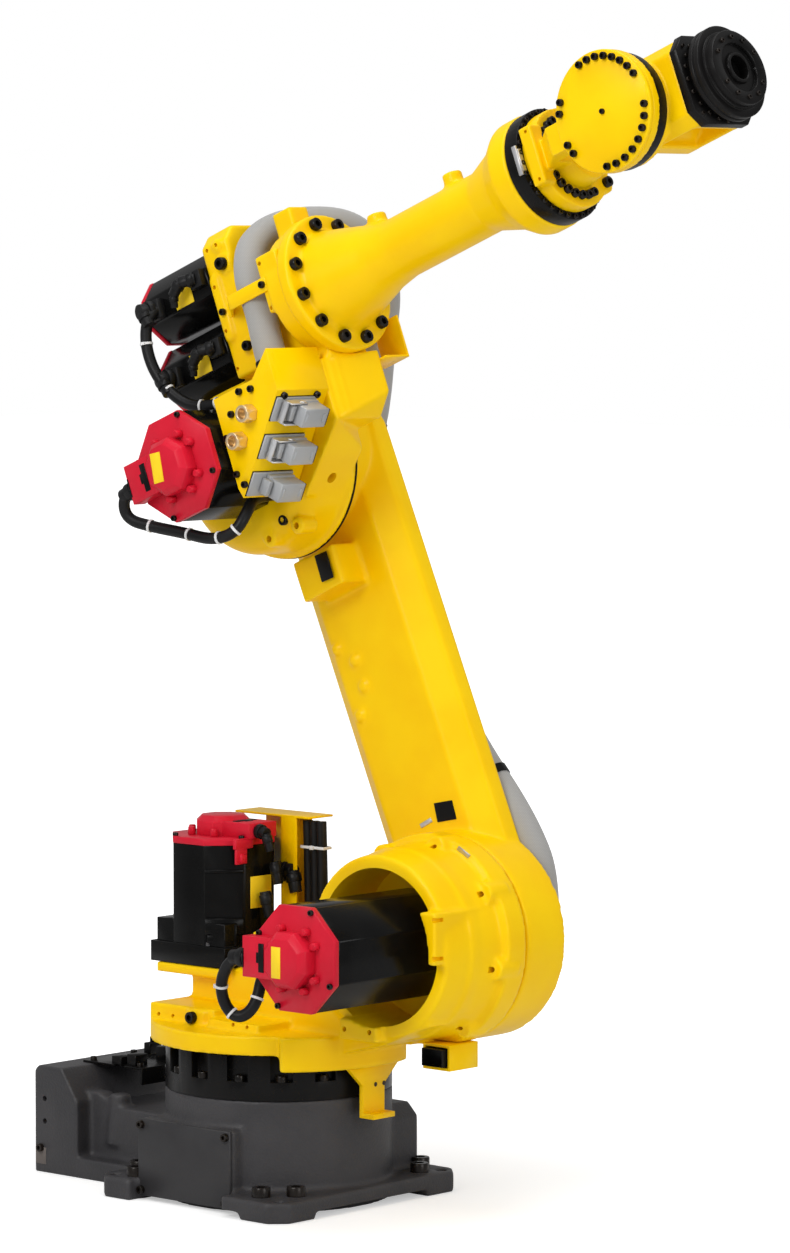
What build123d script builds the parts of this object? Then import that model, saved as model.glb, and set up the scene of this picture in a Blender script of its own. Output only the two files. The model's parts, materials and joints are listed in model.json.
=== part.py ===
"""Six-axis industrial robot arm, about 2.2 m reach, as separate named parts in one frame.

The origin is the first axis at floor level, +Z is up and +X is the way the arm reaches.
All sizes are millimetres and all angles degrees.
"""
import os
from math import acos, cos, radians, sin, sqrt, tan

from build123d import *

os.makedirs("parts", exist_ok=True)

# Axes of the arm
AXIS_2_AHEAD = 320.0
AXIS_2_HEIGHT = 465.0
LOWER_ARM_LENGTH = 870.0
FOREARM_OFFSET = 225.0
FOREARM_LENGTH = 1015.0
ARM_LEAN = 23.7
FOREARM_RISE = 21.6

# Fits shared by all bodies
JOINT_GAP = 0.3
RUNNING_GAP = 5.0
SHEET = 4.0

# Cables: ten-sided tubes whose bends use a share of the shorter run beside them
CABLE_SIDES = 10
BEND_SHARE = 0.45
CABLE_RADIUS = 10.0
SLEEVE_RADIUS = 27.0

# Motors: octagon housings, a large size on axes 1 to 3 and a small one behind the elbow
OCTAGON_SIDES = 8
OCTAGON_TURN = 22.5
MOTOR_FLATS = 174.0
MOTOR_HALF = MOTOR_FLATS / 2
MOTOR_CAP_THICK = 12.0
MOTOR_CAP_OVER = 1.0
ENCODER_FLATS = 92.0
ENCODER_HEIGHT = 34.0
ENCODER_CHAMFER = 10.0
ENCODER_ARM_REACH = 95.0
ENCODER_ARM_HALF = 34.0
ENCODER_ARM_THICK = 26.0
SMALL_MOTOR_FLATS = 112.0
SMALL_MOTOR_HALF = SMALL_MOTOR_FLATS / 2
SMALL_MOTOR_LENGTH = 158.0
SMALL_CAP_THICK = 8.0

# First-axis ring and turret flange heights, counted down from the second axis
FLANGE_DROP = 194.0
FLANGE_LOW = AXIS_2_HEIGHT - FLANGE_DROP
RING_TOP = FLANGE_LOW - RUNNING_GAP
RING_HEIGHT = 76.0
TOWER_HEIGHT = RING_TOP - RING_HEIGHT

# Base
TOWER_RADIUS = 196.0
FOOT_HALF_LENGTH_OVER = 26.0
FOOT_HALF_LENGTH = TOWER_RADIUS + FOOT_HALF_LENGTH_OVER
FOOT_HALF_WIDTH_OVER = 39.0
FOOT_HALF_WIDTH = TOWER_RADIUS + FOOT_HALF_WIDTH_OVER
FOOT_HEIGHT = 36.0
FOOT_CHAMFER = 30.0
FOOT_RELIEF = 12.0
LUG_LENGTH = 95.0
BOLT_NEAR_X_SHORT = 35.0
BOLT_NEAR_X = FOOT_HALF_LENGTH - BOLT_NEAR_X_SHORT
BOLT_NEAR_Y_SHORT = 80.0
BOLT_NEAR_Y = FOOT_HALF_WIDTH - BOLT_NEAR_Y_SHORT
BOLT_FAR_X_SHORT = 73.0
BOLT_FAR_X = FOOT_HALF_LENGTH - BOLT_FAR_X_SHORT
BOLT_FAR_Y_SHORT = 35.0
BOLT_FAR_Y = FOOT_HALF_WIDTH - BOLT_FAR_Y_SHORT
BOLT_HOLE_RADIUS = 11.0
DOWEL_X_SHORT = 28.0
DOWEL_X = FOOT_HALF_LENGTH - DOWEL_X_SHORT
DOWEL_Y_SHORT = 31.0
DOWEL_Y = FOOT_HALF_WIDTH - DOWEL_Y_SHORT
DOWEL_RADIUS = 9.0
SIDE_BOX_BACK = -133.0
SIDE_BOX_FRONT = 86.0
SIDE_BOX_FACE_SHORT = 9.0
SIDE_BOX_FACE = -TOWER_RADIUS - SIDE_BOX_FACE_SHORT
SIDE_BOX_LOW = 8.0
SIDE_BOX_HIGH_SHORT = 49.0
SIDE_BOX_HIGH = TOWER_HEIGHT - SIDE_BOX_HIGH_SHORT
SIDE_COVER_THICK = 6.0
FAR_BOX_BACK = -90.0
FAR_BOX_FRONT = 140.0
FAR_BOX_FACE_OVER = 9.0
FAR_BOX_FACE = TOWER_RADIUS + FAR_BOX_FACE_OVER
FAR_BOX_HIGH_SHORT = 42.0
FAR_BOX_HIGH = TOWER_HEIGHT - FAR_BOX_HIGH_SHORT
FAR_BOX_ROUND = 22.0
REAR_BOX_BACK = -463.0
REAR_BOX_TOP_FRONT = -395.0
REAR_BOX_FRONT = -356.0
REAR_BOX_HALF = 140.0
REAR_BOX_HIGH = TOWER_HEIGHT
REAR_BOX_STEP_SHORT = 56.0
REAR_BOX_STEP = TOWER_HEIGHT - REAR_BOX_STEP_SHORT
REAR_EDGE = 8.0
BRIDGE_HALF = 105.0
BRIDGE_HIGH_SHORT = 62.0
BRIDGE_HIGH = TOWER_HEIGHT - BRIDGE_HIGH_SHORT
GUSSET_BACK = -340.0
GUSSET_FRONT = -285.0
GUSSET_HIGH_SHORT = 40.0
GUSSET_HIGH = TOWER_HEIGHT - GUSSET_HIGH_SHORT
GUSSET_WIDE = 34.0
GUSSET_Y = -88.0
BRACKET_BACK = -420.0
BRACKET_FRONT = -272.0
BRACKET_HALF = 62.0
BRACKET_NOTCH_X = -330.0
BRACKET_NOTCH = 26.0
BRACKET_LIP = 26.0

# First-axis ring, with pocket heights above the tower
RING_RADIUS = TOWER_RADIUS
RING_BORE = 90.0
POCKET_COUNT = 16
POCKET_LOW = 32.0
POCKET_HIGH = RING_HEIGHT
POCKET_DEPTH = 16.0
POCKET_WIDE = 38.0

# Turret, with heights above the underside of its flange
FLANGE_HIGH = 33.0
FLANGE_RADIUS_OVER = 25.0
FLANGE_RADIUS = RING_RADIUS + FLANGE_RADIUS_OVER
HUB_RADIUS = 120.0
STOP_SECTOR_INNER = RING_RADIUS + RUNNING_GAP
STOP_SECTOR_OUTER_OVER = 44.0
STOP_SECTOR_OUTER = RING_RADIUS + STOP_SECTOR_OUTER_OVER
STOP_SECTOR_LOW = -26.0
STOP_SECTOR_START = -46.0
STOP_SECTOR_SWEEP = 66.0
MOTOR_1_X = -132.0
SEAT_HIGH = 122.0
SEAT_THICK = 18.0
SEAT_HALF_LENGTH = 76.0
SEAT_HALF_WIDTH = 90.0
PEDESTAL_BACK = -150.0
PEDESTAL_FRONT = 40.0
PEDESTAL_HALF = 62.0
FOOT_BLOCK_BACK = -165.0
FOOT_BLOCK_FRONT = 110.0
FOOT_BLOCK_FACE = -150.0
FOOT_BLOCK_HIGH = 61.0
STEP_BLOCK_BACK = -10.0
STEP_BLOCK_FACE = -165.0
STEP_BLOCK_HIGH = 48.0
DRUM_RADIUS = 150.0
DRUM_INNER = 133.0
DRUM_OPEN = -95.0
DRUM_FLOOR = 20.0
DRUM_FLANGE_RADIUS = 180.0
DRUM_FLANGE_START = 29.0
DRUM_SEAM = 76.7
SEAM_GROOVE = 7.0
SEAM_SPIGOT_RADIUS = 164.0
DRUM_STEP_RADIUS = 163.0
DRUM_STEP_START = -40.0
WEB_BACK = 20.0
WEB_FRONT_OVER = 105.0
WEB_FRONT = AXIS_2_AHEAD + WEB_FRONT_OVER
WEB_FOOT = 214.0
WEB_LOW = 27.0
WEB_HIGH = 69.0
WEB_NEAR = -85.0
WEB_FAR = 62.0
RIM_PAD_REACH = 26.0
RIM_PAD_LOW = -16.0
RIM_PAD_HIGH = 72.0
RIM_PAD_THICK = 34.0
SIDE_PAD_X = 245.0
SIDE_PAD_LENGTH = 86.0
SIDE_PAD_LOW = 35.0
SIDE_PAD_HIGH = 71.0
SIDE_PAD_FACE = -112.0
POCKET_TUBE_BACK = 335.0
POCKET_TUBE_FRONT = 395.0
POCKET_TUBE_NEAR = 0.0
POCKET_TUBE_FAR = 72.0
POCKET_TUBE_LOW = -19.0
POCKET_TUBE_HIGH = 25.0
POCKET_TUBE_WALL = 5.0
STOP_PLATE_X_OVER = 18.0
STOP_PLATE_X = RING_RADIUS + STOP_PLATE_X_OVER
STOP_PLATE_THICK = 9.0
STOP_TOP_HALF = 62.0
STOP_NECK_HALF = 27.0
STOP_NECK_START = -59.0
STOP_LOW = -114.0
STOP_TOE = 24.0
MOTOR_1_TOP = 331.0
MOTOR_1_FOOT_HALF = 90.0
MOTOR_1_FOOT_HIGH = 36.0
MOTOR_1_WAIST_HALF = 82.0
MOTOR_1_WAIST_HIGH = 76.0
MOTOR_2_CAP_FACE = -297.0
COVER_BACK = -40.0
COVER_FRONT = 26.0
COVER_BAND = -4.0
COVER_FACE = 96.0
COVER_NEAR = 48.0
COVER_TOP = 379.0
COVER_PLATE_HIGH = 330.0
COVER_WIDE_BACK = -118.0
COVER_WIDE_FRONT = -10.0
COVER_WIDE_LOW = 262.0
COVER_ROOF_BACK = -150.0
COVER_ROOF_FAR = 110.0
LEAD_RADIUS = 9.0
LEAD_PITCH = 16.0
LEAD_X = 8.0
LEAD_Y = 72.0
LEAD_LEAN = -6.0
LEAD_MIDDLE = 200.0
LEAD_COUNT = 3
LOOP_ROUTE = [
    (-ENCODER_ARM_REACH - JOINT_GAP, -310.0, -4.0),
    (-128.0, -310.0, -4.0),
    (-164.0, -304.0, -46.0),
    (-166.0, -296.0, -88.0),
    (-142.0, -286.0, -116.0),
    (-114.0, -270.0, -92.0),
    (-118.0, -250.0, -32.0),
    (-MOTOR_HALF - JOINT_GAP, -250.0, -32.0),
]

# Lower arm, measured along and across the line from axis 2 to axis 3
ARM_HALF = 130.0
ARM_FACE_HALF = 88.0
ARM_NEAR = 118.0
ARM_BEVEL = 150.0
ARM_FAR = 186.0
ARM_HUB_RADIUS = 177.0
ARM_HUB_FAR = 180.0
ELBOW_SEAM = 50.0
ARM_BOSS_RADIUS = 120.0
LUG_BACK = -64.0
LUG_FRONT = 38.0
LUG_LOW_SHORT = 238.0
LUG_LOW = LOWER_ARM_LENGTH - LUG_LOW_SHORT
LUG_HIGH_SHORT = 166.0
LUG_HIGH = LOWER_ARM_LENGTH - LUG_HIGH_SHORT
LUG_FACE_OVER = 1.0
LUG_FACE = ELBOW_SEAM + RUNNING_GAP + LUG_FACE_OVER
BOSS_RADIUS = 9.0
BOSS_HEIGHT = 7.0
BOSS_SPOTS = [(-78.0, 548.0), (-46.0, 516.0), (-44.0, 468.0), (-72.0, 424.0)]
SLEEVE_FLAT = SLEEVE_RADIUS * cos(radians(180 / CABLE_SIDES))
ARM_SLEEVE_Y = ARM_FAR + SLEEVE_FLAT + JOINT_GAP
ARM_SLEEVE_SHORT = 130.0
ARM_SLEEVE_ROUTE = [
    (60.0, ARM_SLEEVE_Y, -100.0),
    (132.0, ARM_SLEEVE_Y, 30.0),
    (126.0, ARM_SLEEVE_Y, 150.0),
    (62.0, ARM_SLEEVE_Y, 330.0),
    (24.0, ARM_SLEEVE_Y, 560.0),
    (0.0, ARM_SLEEVE_Y, LOWER_ARM_LENGTH - ARM_SLEEVE_SHORT),
]

# Elbow, measured along and across the forearm axis from axis 3
ELBOW_RADIUS = 158.0
ELBOW_ROUND = 40.0
ELBOW_HEAD_RADIUS = 168.0
ELBOW_NEAR = -60.0
ELBOW_HEAD_NEAR = 38.0
ROOT_START = 250.0
ROOT_THICK = 26.0
ROOT_RADIUS = 122.0
NECK_FRONT = ROOT_START + ROOT_THICK
NECK_LOW = -8.0
NECK_EDGE = 36.0
NECK_HIGH = 300.0
NECK_SHELF = FOREARM_OFFSET - ROOT_RADIUS - JOINT_GAP
NECK_RING_RADIUS = 114.0
NECK_RING_START = 214.0
SIDE_LUG_BACK = 198.0
SIDE_LUG_NEAR = -107.0
SIDE_LUG_FAR = -88.0
SIDE_LUG_LOW = 197.0
SIDE_LUG_HIGH = 297.0
TOP_LUG_BACK = 206.0
TOP_LUG_NEAR = -42.0
TOP_LUG_FAR = 4.0
TOP_LUG_HIGH = 372.0
GEARCASE_BACK = 58.0
GEARCASE_FRONT = 122.0
GEARCASE_LOW = 130.0
GEARCASE_HIGH = 390.0
GEARCASE_NEAR = -75.0
GEARCASE_FAR = 36.0
GEARCASE_CORNER = 24.0
NECK_NEAR = -45.0
SHOULDER_BACK = 100.0
SHOULDER_FRONT = 236.0
SHOULDER_FRONT_FAR = 190.0
SHOULDER_LOW_X = 118.0
SHOULDER_LOW = -105.0
SHOULDER_FAR = ELBOW_HEAD_NEAR
SHOULDER_NEAR = -58.0
WEB_Y_HALF = 32.0
MOTOR_3_CAP_FACE = -217.0
SMALL_MOTOR_Y = GEARCASE_FAR - SMALL_MOTOR_HALF
MOTOR_4_Z = 312.0
MOTOR_5_Z = GEARCASE_LOW + SMALL_MOTOR_HALF + MOTOR_CAP_OVER + JOINT_GAP
BOX_BACK_OVER = 6.0
BOX_BACK = MOTOR_HALF + BOX_BACK_OVER
BOX_FACE = -185.0
BOX_TOP = 84.0
BOX_TOP_FRONT = 190.0
BOX_TIP = 122.0
BOX_NOSE_X = 239.0
BOX_NOSE_Z = 47.0
BOX_SLOPE = 199.0
BOX_HEEL = 19.0
NECK_CUT_X = BOX_NOSE_X
CONNECTOR_LONG = 96.0
CONNECTOR_WIDE = 44.0
CONNECTOR_PLATE = 5.0
CONNECTOR_HOOD_LONG = 62.0
CONNECTOR_HOOD_WIDE = 34.0
CONNECTOR_HIGH = 46.0
CONNECTOR_EDGE = 3.0
CONNECTOR_FIRST = 34.0
CONNECTOR_PITCH = 69.0
FITTING_RADIUS = 15.0
FITTING_LENGTH = 24.0
FITTING_SIDES = 6
FITTING_UPPER = (168.0, 32.0)
FITTING_LOWER = (130.0, -3.0)
STRAP_LOW = 234.0
STRAP_WIDE = 25.0
STRAP_BACK = 64.0
STRAP_BEND = 94.0
STRAP_RISE = 124.0
STRAP_FRONT = 214.0
FAR_BRACKET_BACK = 226.0
FAR_BRACKET_FRONT = 286.0
FAR_BRACKET_FACE = 110.0
FAR_BRACKET_LOW = 84.0
FAR_BRACKET_HIGH = 160.0
ELBOW_SLEEVE_Y = ARM_FAR + SLEEVE_RADIUS + RUNNING_GAP
STRAP_SLEEVE_Y = SIDE_LUG_NEAR + SLEEVE_RADIUS + JOINT_GAP
ELBOW_SLEEVE_ROUTE = [
    (36.0, ELBOW_SLEEVE_Y, 0.0),
    (84.0, ELBOW_SLEEVE_Y, 62.0),
    (136.0, ELBOW_SLEEVE_Y, 160.0),
    (196.0, ELBOW_SLEEVE_Y, 262.0),
    (236.0, 136.0, 346.0),
    (180.0, 40.0, 374.0),
    (153.0, -44.0, 350.0),
    (151.0, STRAP_SLEEVE_Y, 286.0),
    (158.0, STRAP_SLEEVE_Y, 222.0),
    (160.0, -90.0, 150.0),
    (160.0, -90.0, BOX_TOP + JOINT_GAP),
]
SENSOR_LEAD_ROUTE = [
    (-ENCODER_ARM_REACH - JOINT_GAP, -230.0, -6.0),
    (-126.0, -230.0, -6.0),
    (-142.0, -222.0, -44.0),
    (-98.0, -208.0, -74.0),
    (-40.0, -198.0, -106.0),
    (14.0, -194.0, -138.0),
    (62.0, -188.0, -142.0),
    (82.0, -168.0, -114.0),
    (68.0, -124.0, -80.0),
    (68.0, ELBOW_NEAR - JOINT_GAP, -80.0),
]
PAIR_LEAD_ROUTE = [
    (-66.0, SMALL_MOTOR_Y - SMALL_MOTOR_HALF - JOINT_GAP, 306.0),
    (-66.0, -106.0, 306.0),
    (-92.0, -112.0, 258.0),
    (-88.0, -112.0, 190.0),
    (-50.0, -104.0, 126.0),
    (-4.0, -92.0, 106.0),
    (46.0, -88.0, 102.0),
    (68.0, -88.0, 70.0),
    (BOX_BACK - JOINT_GAP, -88.0, 70.0),
]

# Forearm tube and fourth-axis ring; the far stations are counted back from axis 5
BULB_RADIUS = 92.0
BULB_END_OVER = 135.0
BULB_END = ROOT_START + BULB_END_OVER
BULB_END_RADIUS = 60.0
TUBE_RADIUS = 53.0
TUBE_START_OVER = 180.0
TUBE_START = ROOT_START + TUBE_START_OVER
TUBE_END_SHORT = 375.0
TUBE_END = FOREARM_LENGTH - TUBE_END_SHORT
FLARE_MID_SHORT = 315.0
FLARE_MID = FOREARM_LENGTH - FLARE_MID_SHORT
FLARE_MID_RADIUS = 75.0
FLARE_END_SHORT = 280.0
FLARE_END = FOREARM_LENGTH - FLARE_END_SHORT
FLARE_RADIUS = 99.0
RING_4_START_SHORT = 243.0
RING_4_START = FOREARM_LENGTH - RING_4_START_SHORT
RING_4_END_SHORT = 215.0
RING_4_END = FOREARM_LENGTH - RING_4_END_SHORT
RING_4_RADIUS = 97.0
TUBE_BOSS_NEAR = 145.0
TUBE_BOSS_FAR = 328.0
TUBE_BOSSES = [ROOT_START + TUBE_BOSS_NEAR, ROOT_START + TUBE_BOSS_FAR]
TUBE_BOSS_RADIUS = 17.0
TUBE_BOSS_HIGH = 74.0

# Wrist, measured from axis 5
WRIST_FLANGE_THICK = 28.0
WRIST_FLANGE_RADIUS = 86.0
WRIST_NECK_RADIUS = 50.0
WRIST_NECK_END = -150.0
WRIST_RADIUS = 98.0
WRIST_FACE = -120.0
WRIST_INNER = -104.0
WRIST_COVER_FACE = -128.0
WRIST_ARM_HALF = 24.0
WRIST_ARM_SIDE = -66.0
WRIST_ARM_OUTER = -128.0
WRIST_LINK_FRONT = -96.0
WRIST_LINK_INNER = -82.0
WRIST_PAD_BACK = -206.0
WRIST_PAD_FRONT = -180.0
WRIST_PAD_NEAR = -90.0
WRIST_PAD_FAR = -60.0
WRIST_PAD_LOW = -46.0
WRIST_PAD_HIGH = 54.0
RING_5_RADIUS = 94.0
RING_5_END = -81.0
HAND_CHEEK_RADIUS = 90.0
HAND_CHEEK_FAR = -64.0
HAND_RADIUS = 64.0
HAND_FAR = 56.0
HAND_HALF = 72.0
HAND_EDGE = 20.0
HAND_PLATE_START = 118.0
HAND_PLATE_THICK = 16.0
HAND_PLATE_HALF = 75.0
HAND_PLATE_EDGE = 24.0
HAND_POCKET_BACK = 28.0
HAND_POCKET_FRONT = 104.0
HAND_POCKET_HALF = 48.0
HAND_POCKET_DEEP = 36.0
TOOL_START = HAND_PLATE_START + HAND_PLATE_THICK + JOINT_GAP
TOOL_FACE = 188.0
TOOL_RADIUS = 63.0
TOOL_RIM_RADIUS = 78.0
TOOL_RIM_START = 149.0
TOOL_RIM_END = 170.0
TOOL_BOLT_CIRCLE = 51.0
TOOL_BOLTS = 6
TOOL_BOLT_RADIUS = 4.5
TOOL_BORE = 20.0
TOOL_BORE_DEEP = 20.0

# Frames of the bodies: X along the reach, Y to the left, Z up
GROUND = Plane(origin=(0, 0, 0), x_dir=(1, 0, 0), z_dir=(0, 0, 1))
lean = radians(ARM_LEAN)
rise = radians(FOREARM_RISE)
ARM = Plane(
    origin=(AXIS_2_AHEAD, 0, AXIS_2_HEIGHT),
    x_dir=(cos(lean), 0, sin(lean)),
    z_dir=(-sin(lean), 0, cos(lean)),
)
ELBOW = Plane(
    origin=ARM.from_local_coords((0, 0, LOWER_ARM_LENGTH)),
    x_dir=(cos(rise), 0, sin(rise)),
    z_dir=(-sin(rise), 0, cos(rise)),
)
WRIST = Plane(
    origin=ELBOW.from_local_coords((FOREARM_LENGTH, 0, FOREARM_OFFSET)),
    x_dir=ELBOW.x_dir,
    z_dir=ELBOW.z_dir,
)
DRUM = Plane(origin=ARM.origin, x_dir=GROUND.x_dir, z_dir=GROUND.z_dir)
TOWER = Plane(origin=(0, 0, TOWER_HEIGHT), x_dir=GROUND.x_dir, z_dir=GROUND.z_dir)
TURRET = Plane(origin=(0, 0, FLANGE_LOW), x_dir=GROUND.x_dir, z_dir=GROUND.z_dir)
SOCKETS = Plane(
    origin=ELBOW.from_local_coords((BOX_NOSE_X, 0, BOX_NOSE_Z)),
    x_dir=-(ELBOW.x_dir + ELBOW.z_dir),
    z_dir=ELBOW.x_dir - ELBOW.z_dir,
)


def side(frame, y):
    """Plane across the frame at y: sketch x, z and extrude toward -Y."""
    return Plane(origin=frame.from_local_coords((0, y, 0)), x_dir=frame.x_dir, z_dir=-frame.y_dir)


def above(frame, z):
    """Plane level in the frame at z: sketch x, y and extrude toward +Z."""
    return Plane(origin=frame.from_local_coords((0, 0, z)), x_dir=frame.x_dir, z_dir=frame.z_dir)


def ahead(frame, x):
    """Plane facing along the frame at x: sketch y, z and extrude toward +X."""
    return Plane(origin=frame.from_local_coords((x, 0, 0)), x_dir=frame.y_dir, z_dir=frame.x_dir)


def span(low, high):
    """Middle and length of a span."""
    return (low + high) / 2, high - low


def block(frame, x_span, y_span, z_span, mode=Mode.ADD):
    """Box of a frame between pairs of limits, added to the open part."""
    x_mid, x_size = span(*x_span)
    y_mid, y_size = span(*y_span)
    with BuildSketch(above(frame, z_span[0])) as outline:
        with Locations((x_mid, y_mid)):
            Rectangle(x_size, y_size)
    extrude(outline.sketch, amount=z_span[1] - z_span[0], mode=mode)


def cross_disc(frame, x, z, radius, y_span, mode=Mode.ADD):
    """Disc along the Y of a frame, added to the open part."""
    with BuildSketch(side(frame, y_span[1])) as outline:
        with Locations((x, z)):
            Circle(radius)
    extrude(outline.sketch, amount=y_span[1] - y_span[0], mode=mode)


def octagon(flats):
    """Octagon with level flats in the open sketch."""
    RegularPolygon(flats / 2, OCTAGON_SIDES, major_radius=False, rotation=OCTAGON_TURN)


def turned(frame):
    """The same plane turned half round about its normal."""
    return Plane(origin=frame.origin, x_dir=-frame.x_dir, z_dir=frame.z_dir)


def encoder_cover(seat):
    """Chamfered octagon cover with a connector arm along the seat's x, in the open part."""
    with BuildSketch(seat) as outline:
        octagon(ENCODER_FLATS)
    cover = extrude(outline.sketch, amount=ENCODER_HEIGHT)
    chamfer(cover.faces().sort_by(Axis(seat.origin, seat.z_dir))[-1].edges(), length=ENCODER_CHAMFER)
    block(seat, (0, ENCODER_ARM_REACH), (-ENCODER_ARM_HALF, ENCODER_ARM_HALF), (0, ENCODER_ARM_THICK))


def hooded_connector(place):
    """Flange plate and hood of one connector on the sloped socket face, in the open part."""
    along = CONNECTOR_FIRST + place * CONNECTOR_PITCH
    near = BOX_FACE + CONNECTOR_EDGE
    far = near + CONNECTOR_LONG
    half = CONNECTOR_WIDE / 2
    hood_half = CONNECTOR_HOOD_WIDE / 2
    block(SOCKETS, (along - half, along + half), (near, far), (0, CONNECTOR_PLATE))
    block(SOCKETS, (along - hood_half, along + hood_half), (far - CONNECTOR_HOOD_LONG, far), (0, CONNECTOR_HIGH))


def bend_radii(points):
    """Bend radius at each inner point of a route, kept inside the shorter run."""
    radii = []
    for before, here, after in zip(points, points[1:], points[2:]):
        run_in = Vector(*here) - Vector(*before)
        run_out = Vector(*after) - Vector(*here)
        cosine = run_in.dot(run_out) / (run_in.length * run_out.length)
        turn = acos(max(-1, min(1, cosine)))
        radii.append(BEND_SHARE * min(run_in.length, run_out.length) / tan(turn / 2))
    return radii


def tube(points, radius):
    """Tube along straight runs with tangent bends, in the open part."""
    with BuildLine() as route:
        FilletPolyline(*points, radius=bend_radii(points))
    with BuildSketch(Plane(origin=route.line @ 0, z_dir=route.line % 0)) as section:
        RegularPolygon(radius, CABLE_SIDES)
    sweep(section.sketch, path=route.line)


def placed(frame, spots):
    """Points of a frame as points of the ground frame."""
    return [tuple(frame.from_local_coords(spot)) for spot in spots]


# Base casting: foot plate with relieved edges, tower, two side boxes and the rear connector box
with BuildPart() as base_casting:
    with BuildSketch(GROUND):
        Rectangle(2 * FOOT_HALF_LENGTH, 2 * FOOT_HALF_WIDTH)
        chamfer(vertices(), length=FOOT_CHAMFER)
        with Locations((span(SIDE_BOX_BACK, SIDE_BOX_FRONT)[0], SIDE_BOX_FACE - FOOT_HALF_WIDTH / 2)):
            Rectangle(SIDE_BOX_FRONT - SIDE_BOX_BACK, FOOT_HALF_WIDTH, mode=Mode.SUBTRACT)
        with Locations((span(SIDE_BOX_BACK, SIDE_BOX_FRONT)[0], FOOT_HALF_WIDTH / 2 - SIDE_BOX_FACE)):
            Rectangle(SIDE_BOX_FRONT - SIDE_BOX_BACK, FOOT_HALF_WIDTH, mode=Mode.SUBTRACT)
    extrude(amount=FOOT_HEIGHT)
    with BuildSketch(GROUND):
        Rectangle(2 * FOOT_HALF_LENGTH, 2 * (FOOT_HALF_WIDTH - LUG_LENGTH))
        Rectangle(2 * (FOOT_HALF_LENGTH - LUG_LENGTH), 2 * FOOT_HALF_WIDTH)
        Circle(TOWER_RADIUS, mode=Mode.SUBTRACT)
    extrude(amount=FOOT_RELIEF, mode=Mode.SUBTRACT)
    with BuildSketch(GROUND):
        Circle(TOWER_RADIUS)
    extrude(amount=TOWER_HEIGHT)
    block(GROUND, (SIDE_BOX_BACK, SIDE_BOX_FRONT), (SIDE_BOX_FACE, 0), (SIDE_BOX_LOW, SIDE_BOX_HIGH))
    with BuildSketch(side(GROUND, FAR_BOX_FACE)):
        with BuildLine():
            Polyline(
                (FAR_BOX_BACK, SIDE_BOX_LOW),
                (FAR_BOX_FRONT, SIDE_BOX_LOW),
                (FAR_BOX_FRONT, FAR_BOX_HIGH - FAR_BOX_ROUND),
                (FAR_BOX_FRONT - FAR_BOX_ROUND, FAR_BOX_HIGH),
                (FAR_BOX_BACK, FAR_BOX_HIGH),
                close=True,
            )
        make_face()
    extrude(amount=FAR_BOX_FACE)
    with BuildSketch(side(GROUND, REAR_BOX_HALF)):
        with BuildLine():
            Polyline(
                (REAR_BOX_BACK, 0),
                (REAR_BOX_FRONT, 0),
                (REAR_BOX_FRONT, REAR_BOX_STEP),
                (REAR_BOX_TOP_FRONT, REAR_BOX_HIGH),
                (REAR_BOX_BACK + REAR_EDGE, REAR_BOX_HIGH),
                (REAR_BOX_BACK, REAR_BOX_HIGH - REAR_EDGE),
                close=True,
            )
        make_face()
    extrude(amount=2 * REAR_BOX_HALF)
    block(GROUND, (REAR_BOX_FRONT, 0), (-REAR_BOX_HALF, REAR_BOX_HALF), (0, FOOT_HEIGHT))
    block(GROUND, (REAR_BOX_FRONT, 0), (-BRIDGE_HALF, BRIDGE_HALF), (0, BRIDGE_HIGH))
    with BuildSketch(side(GROUND, GUSSET_Y + GUSSET_WIDE / 2)):
        with BuildLine():
            Polyline(
                (REAR_BOX_FRONT, BRIDGE_HIGH - SHEET),
                (GUSSET_FRONT, BRIDGE_HIGH - SHEET),
                (GUSSET_BACK, GUSSET_HIGH),
                (REAR_BOX_FRONT - SHEET, GUSSET_HIGH),
                close=True,
            )
        make_face()
    extrude(amount=GUSSET_WIDE)
    with BuildSketch(above(GROUND, FOOT_HEIGHT)):
        for x_way in (-1, 1):
            for y_way in (-1, 1):
                with Locations((x_way * BOLT_NEAR_X, y_way * BOLT_NEAR_Y)):
                    Circle(BOLT_HOLE_RADIUS)
                with Locations((x_way * BOLT_FAR_X, y_way * BOLT_FAR_Y)):
                    Circle(BOLT_HOLE_RADIUS)
                with Locations((x_way * DOWEL_X, y_way * DOWEL_Y)):
                    Circle(DOWEL_RADIUS)
    extrude(amount=-FOOT_HEIGHT, mode=Mode.SUBTRACT)
base_casting.part.label = "base_casting"
export_step(base_casting.part, "parts/base_casting.step")

# Bolted cover of the side box
with BuildPart() as side_cover:
    block(
        GROUND,
        (SIDE_BOX_BACK, SIDE_BOX_FRONT),
        (SIDE_BOX_FACE - SIDE_COVER_THICK, SIDE_BOX_FACE),
        (SIDE_BOX_LOW, SIDE_BOX_HIGH),
    )
side_cover.part.label = "side_cover"
export_step(side_cover.part, "parts/side_cover.step")

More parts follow.
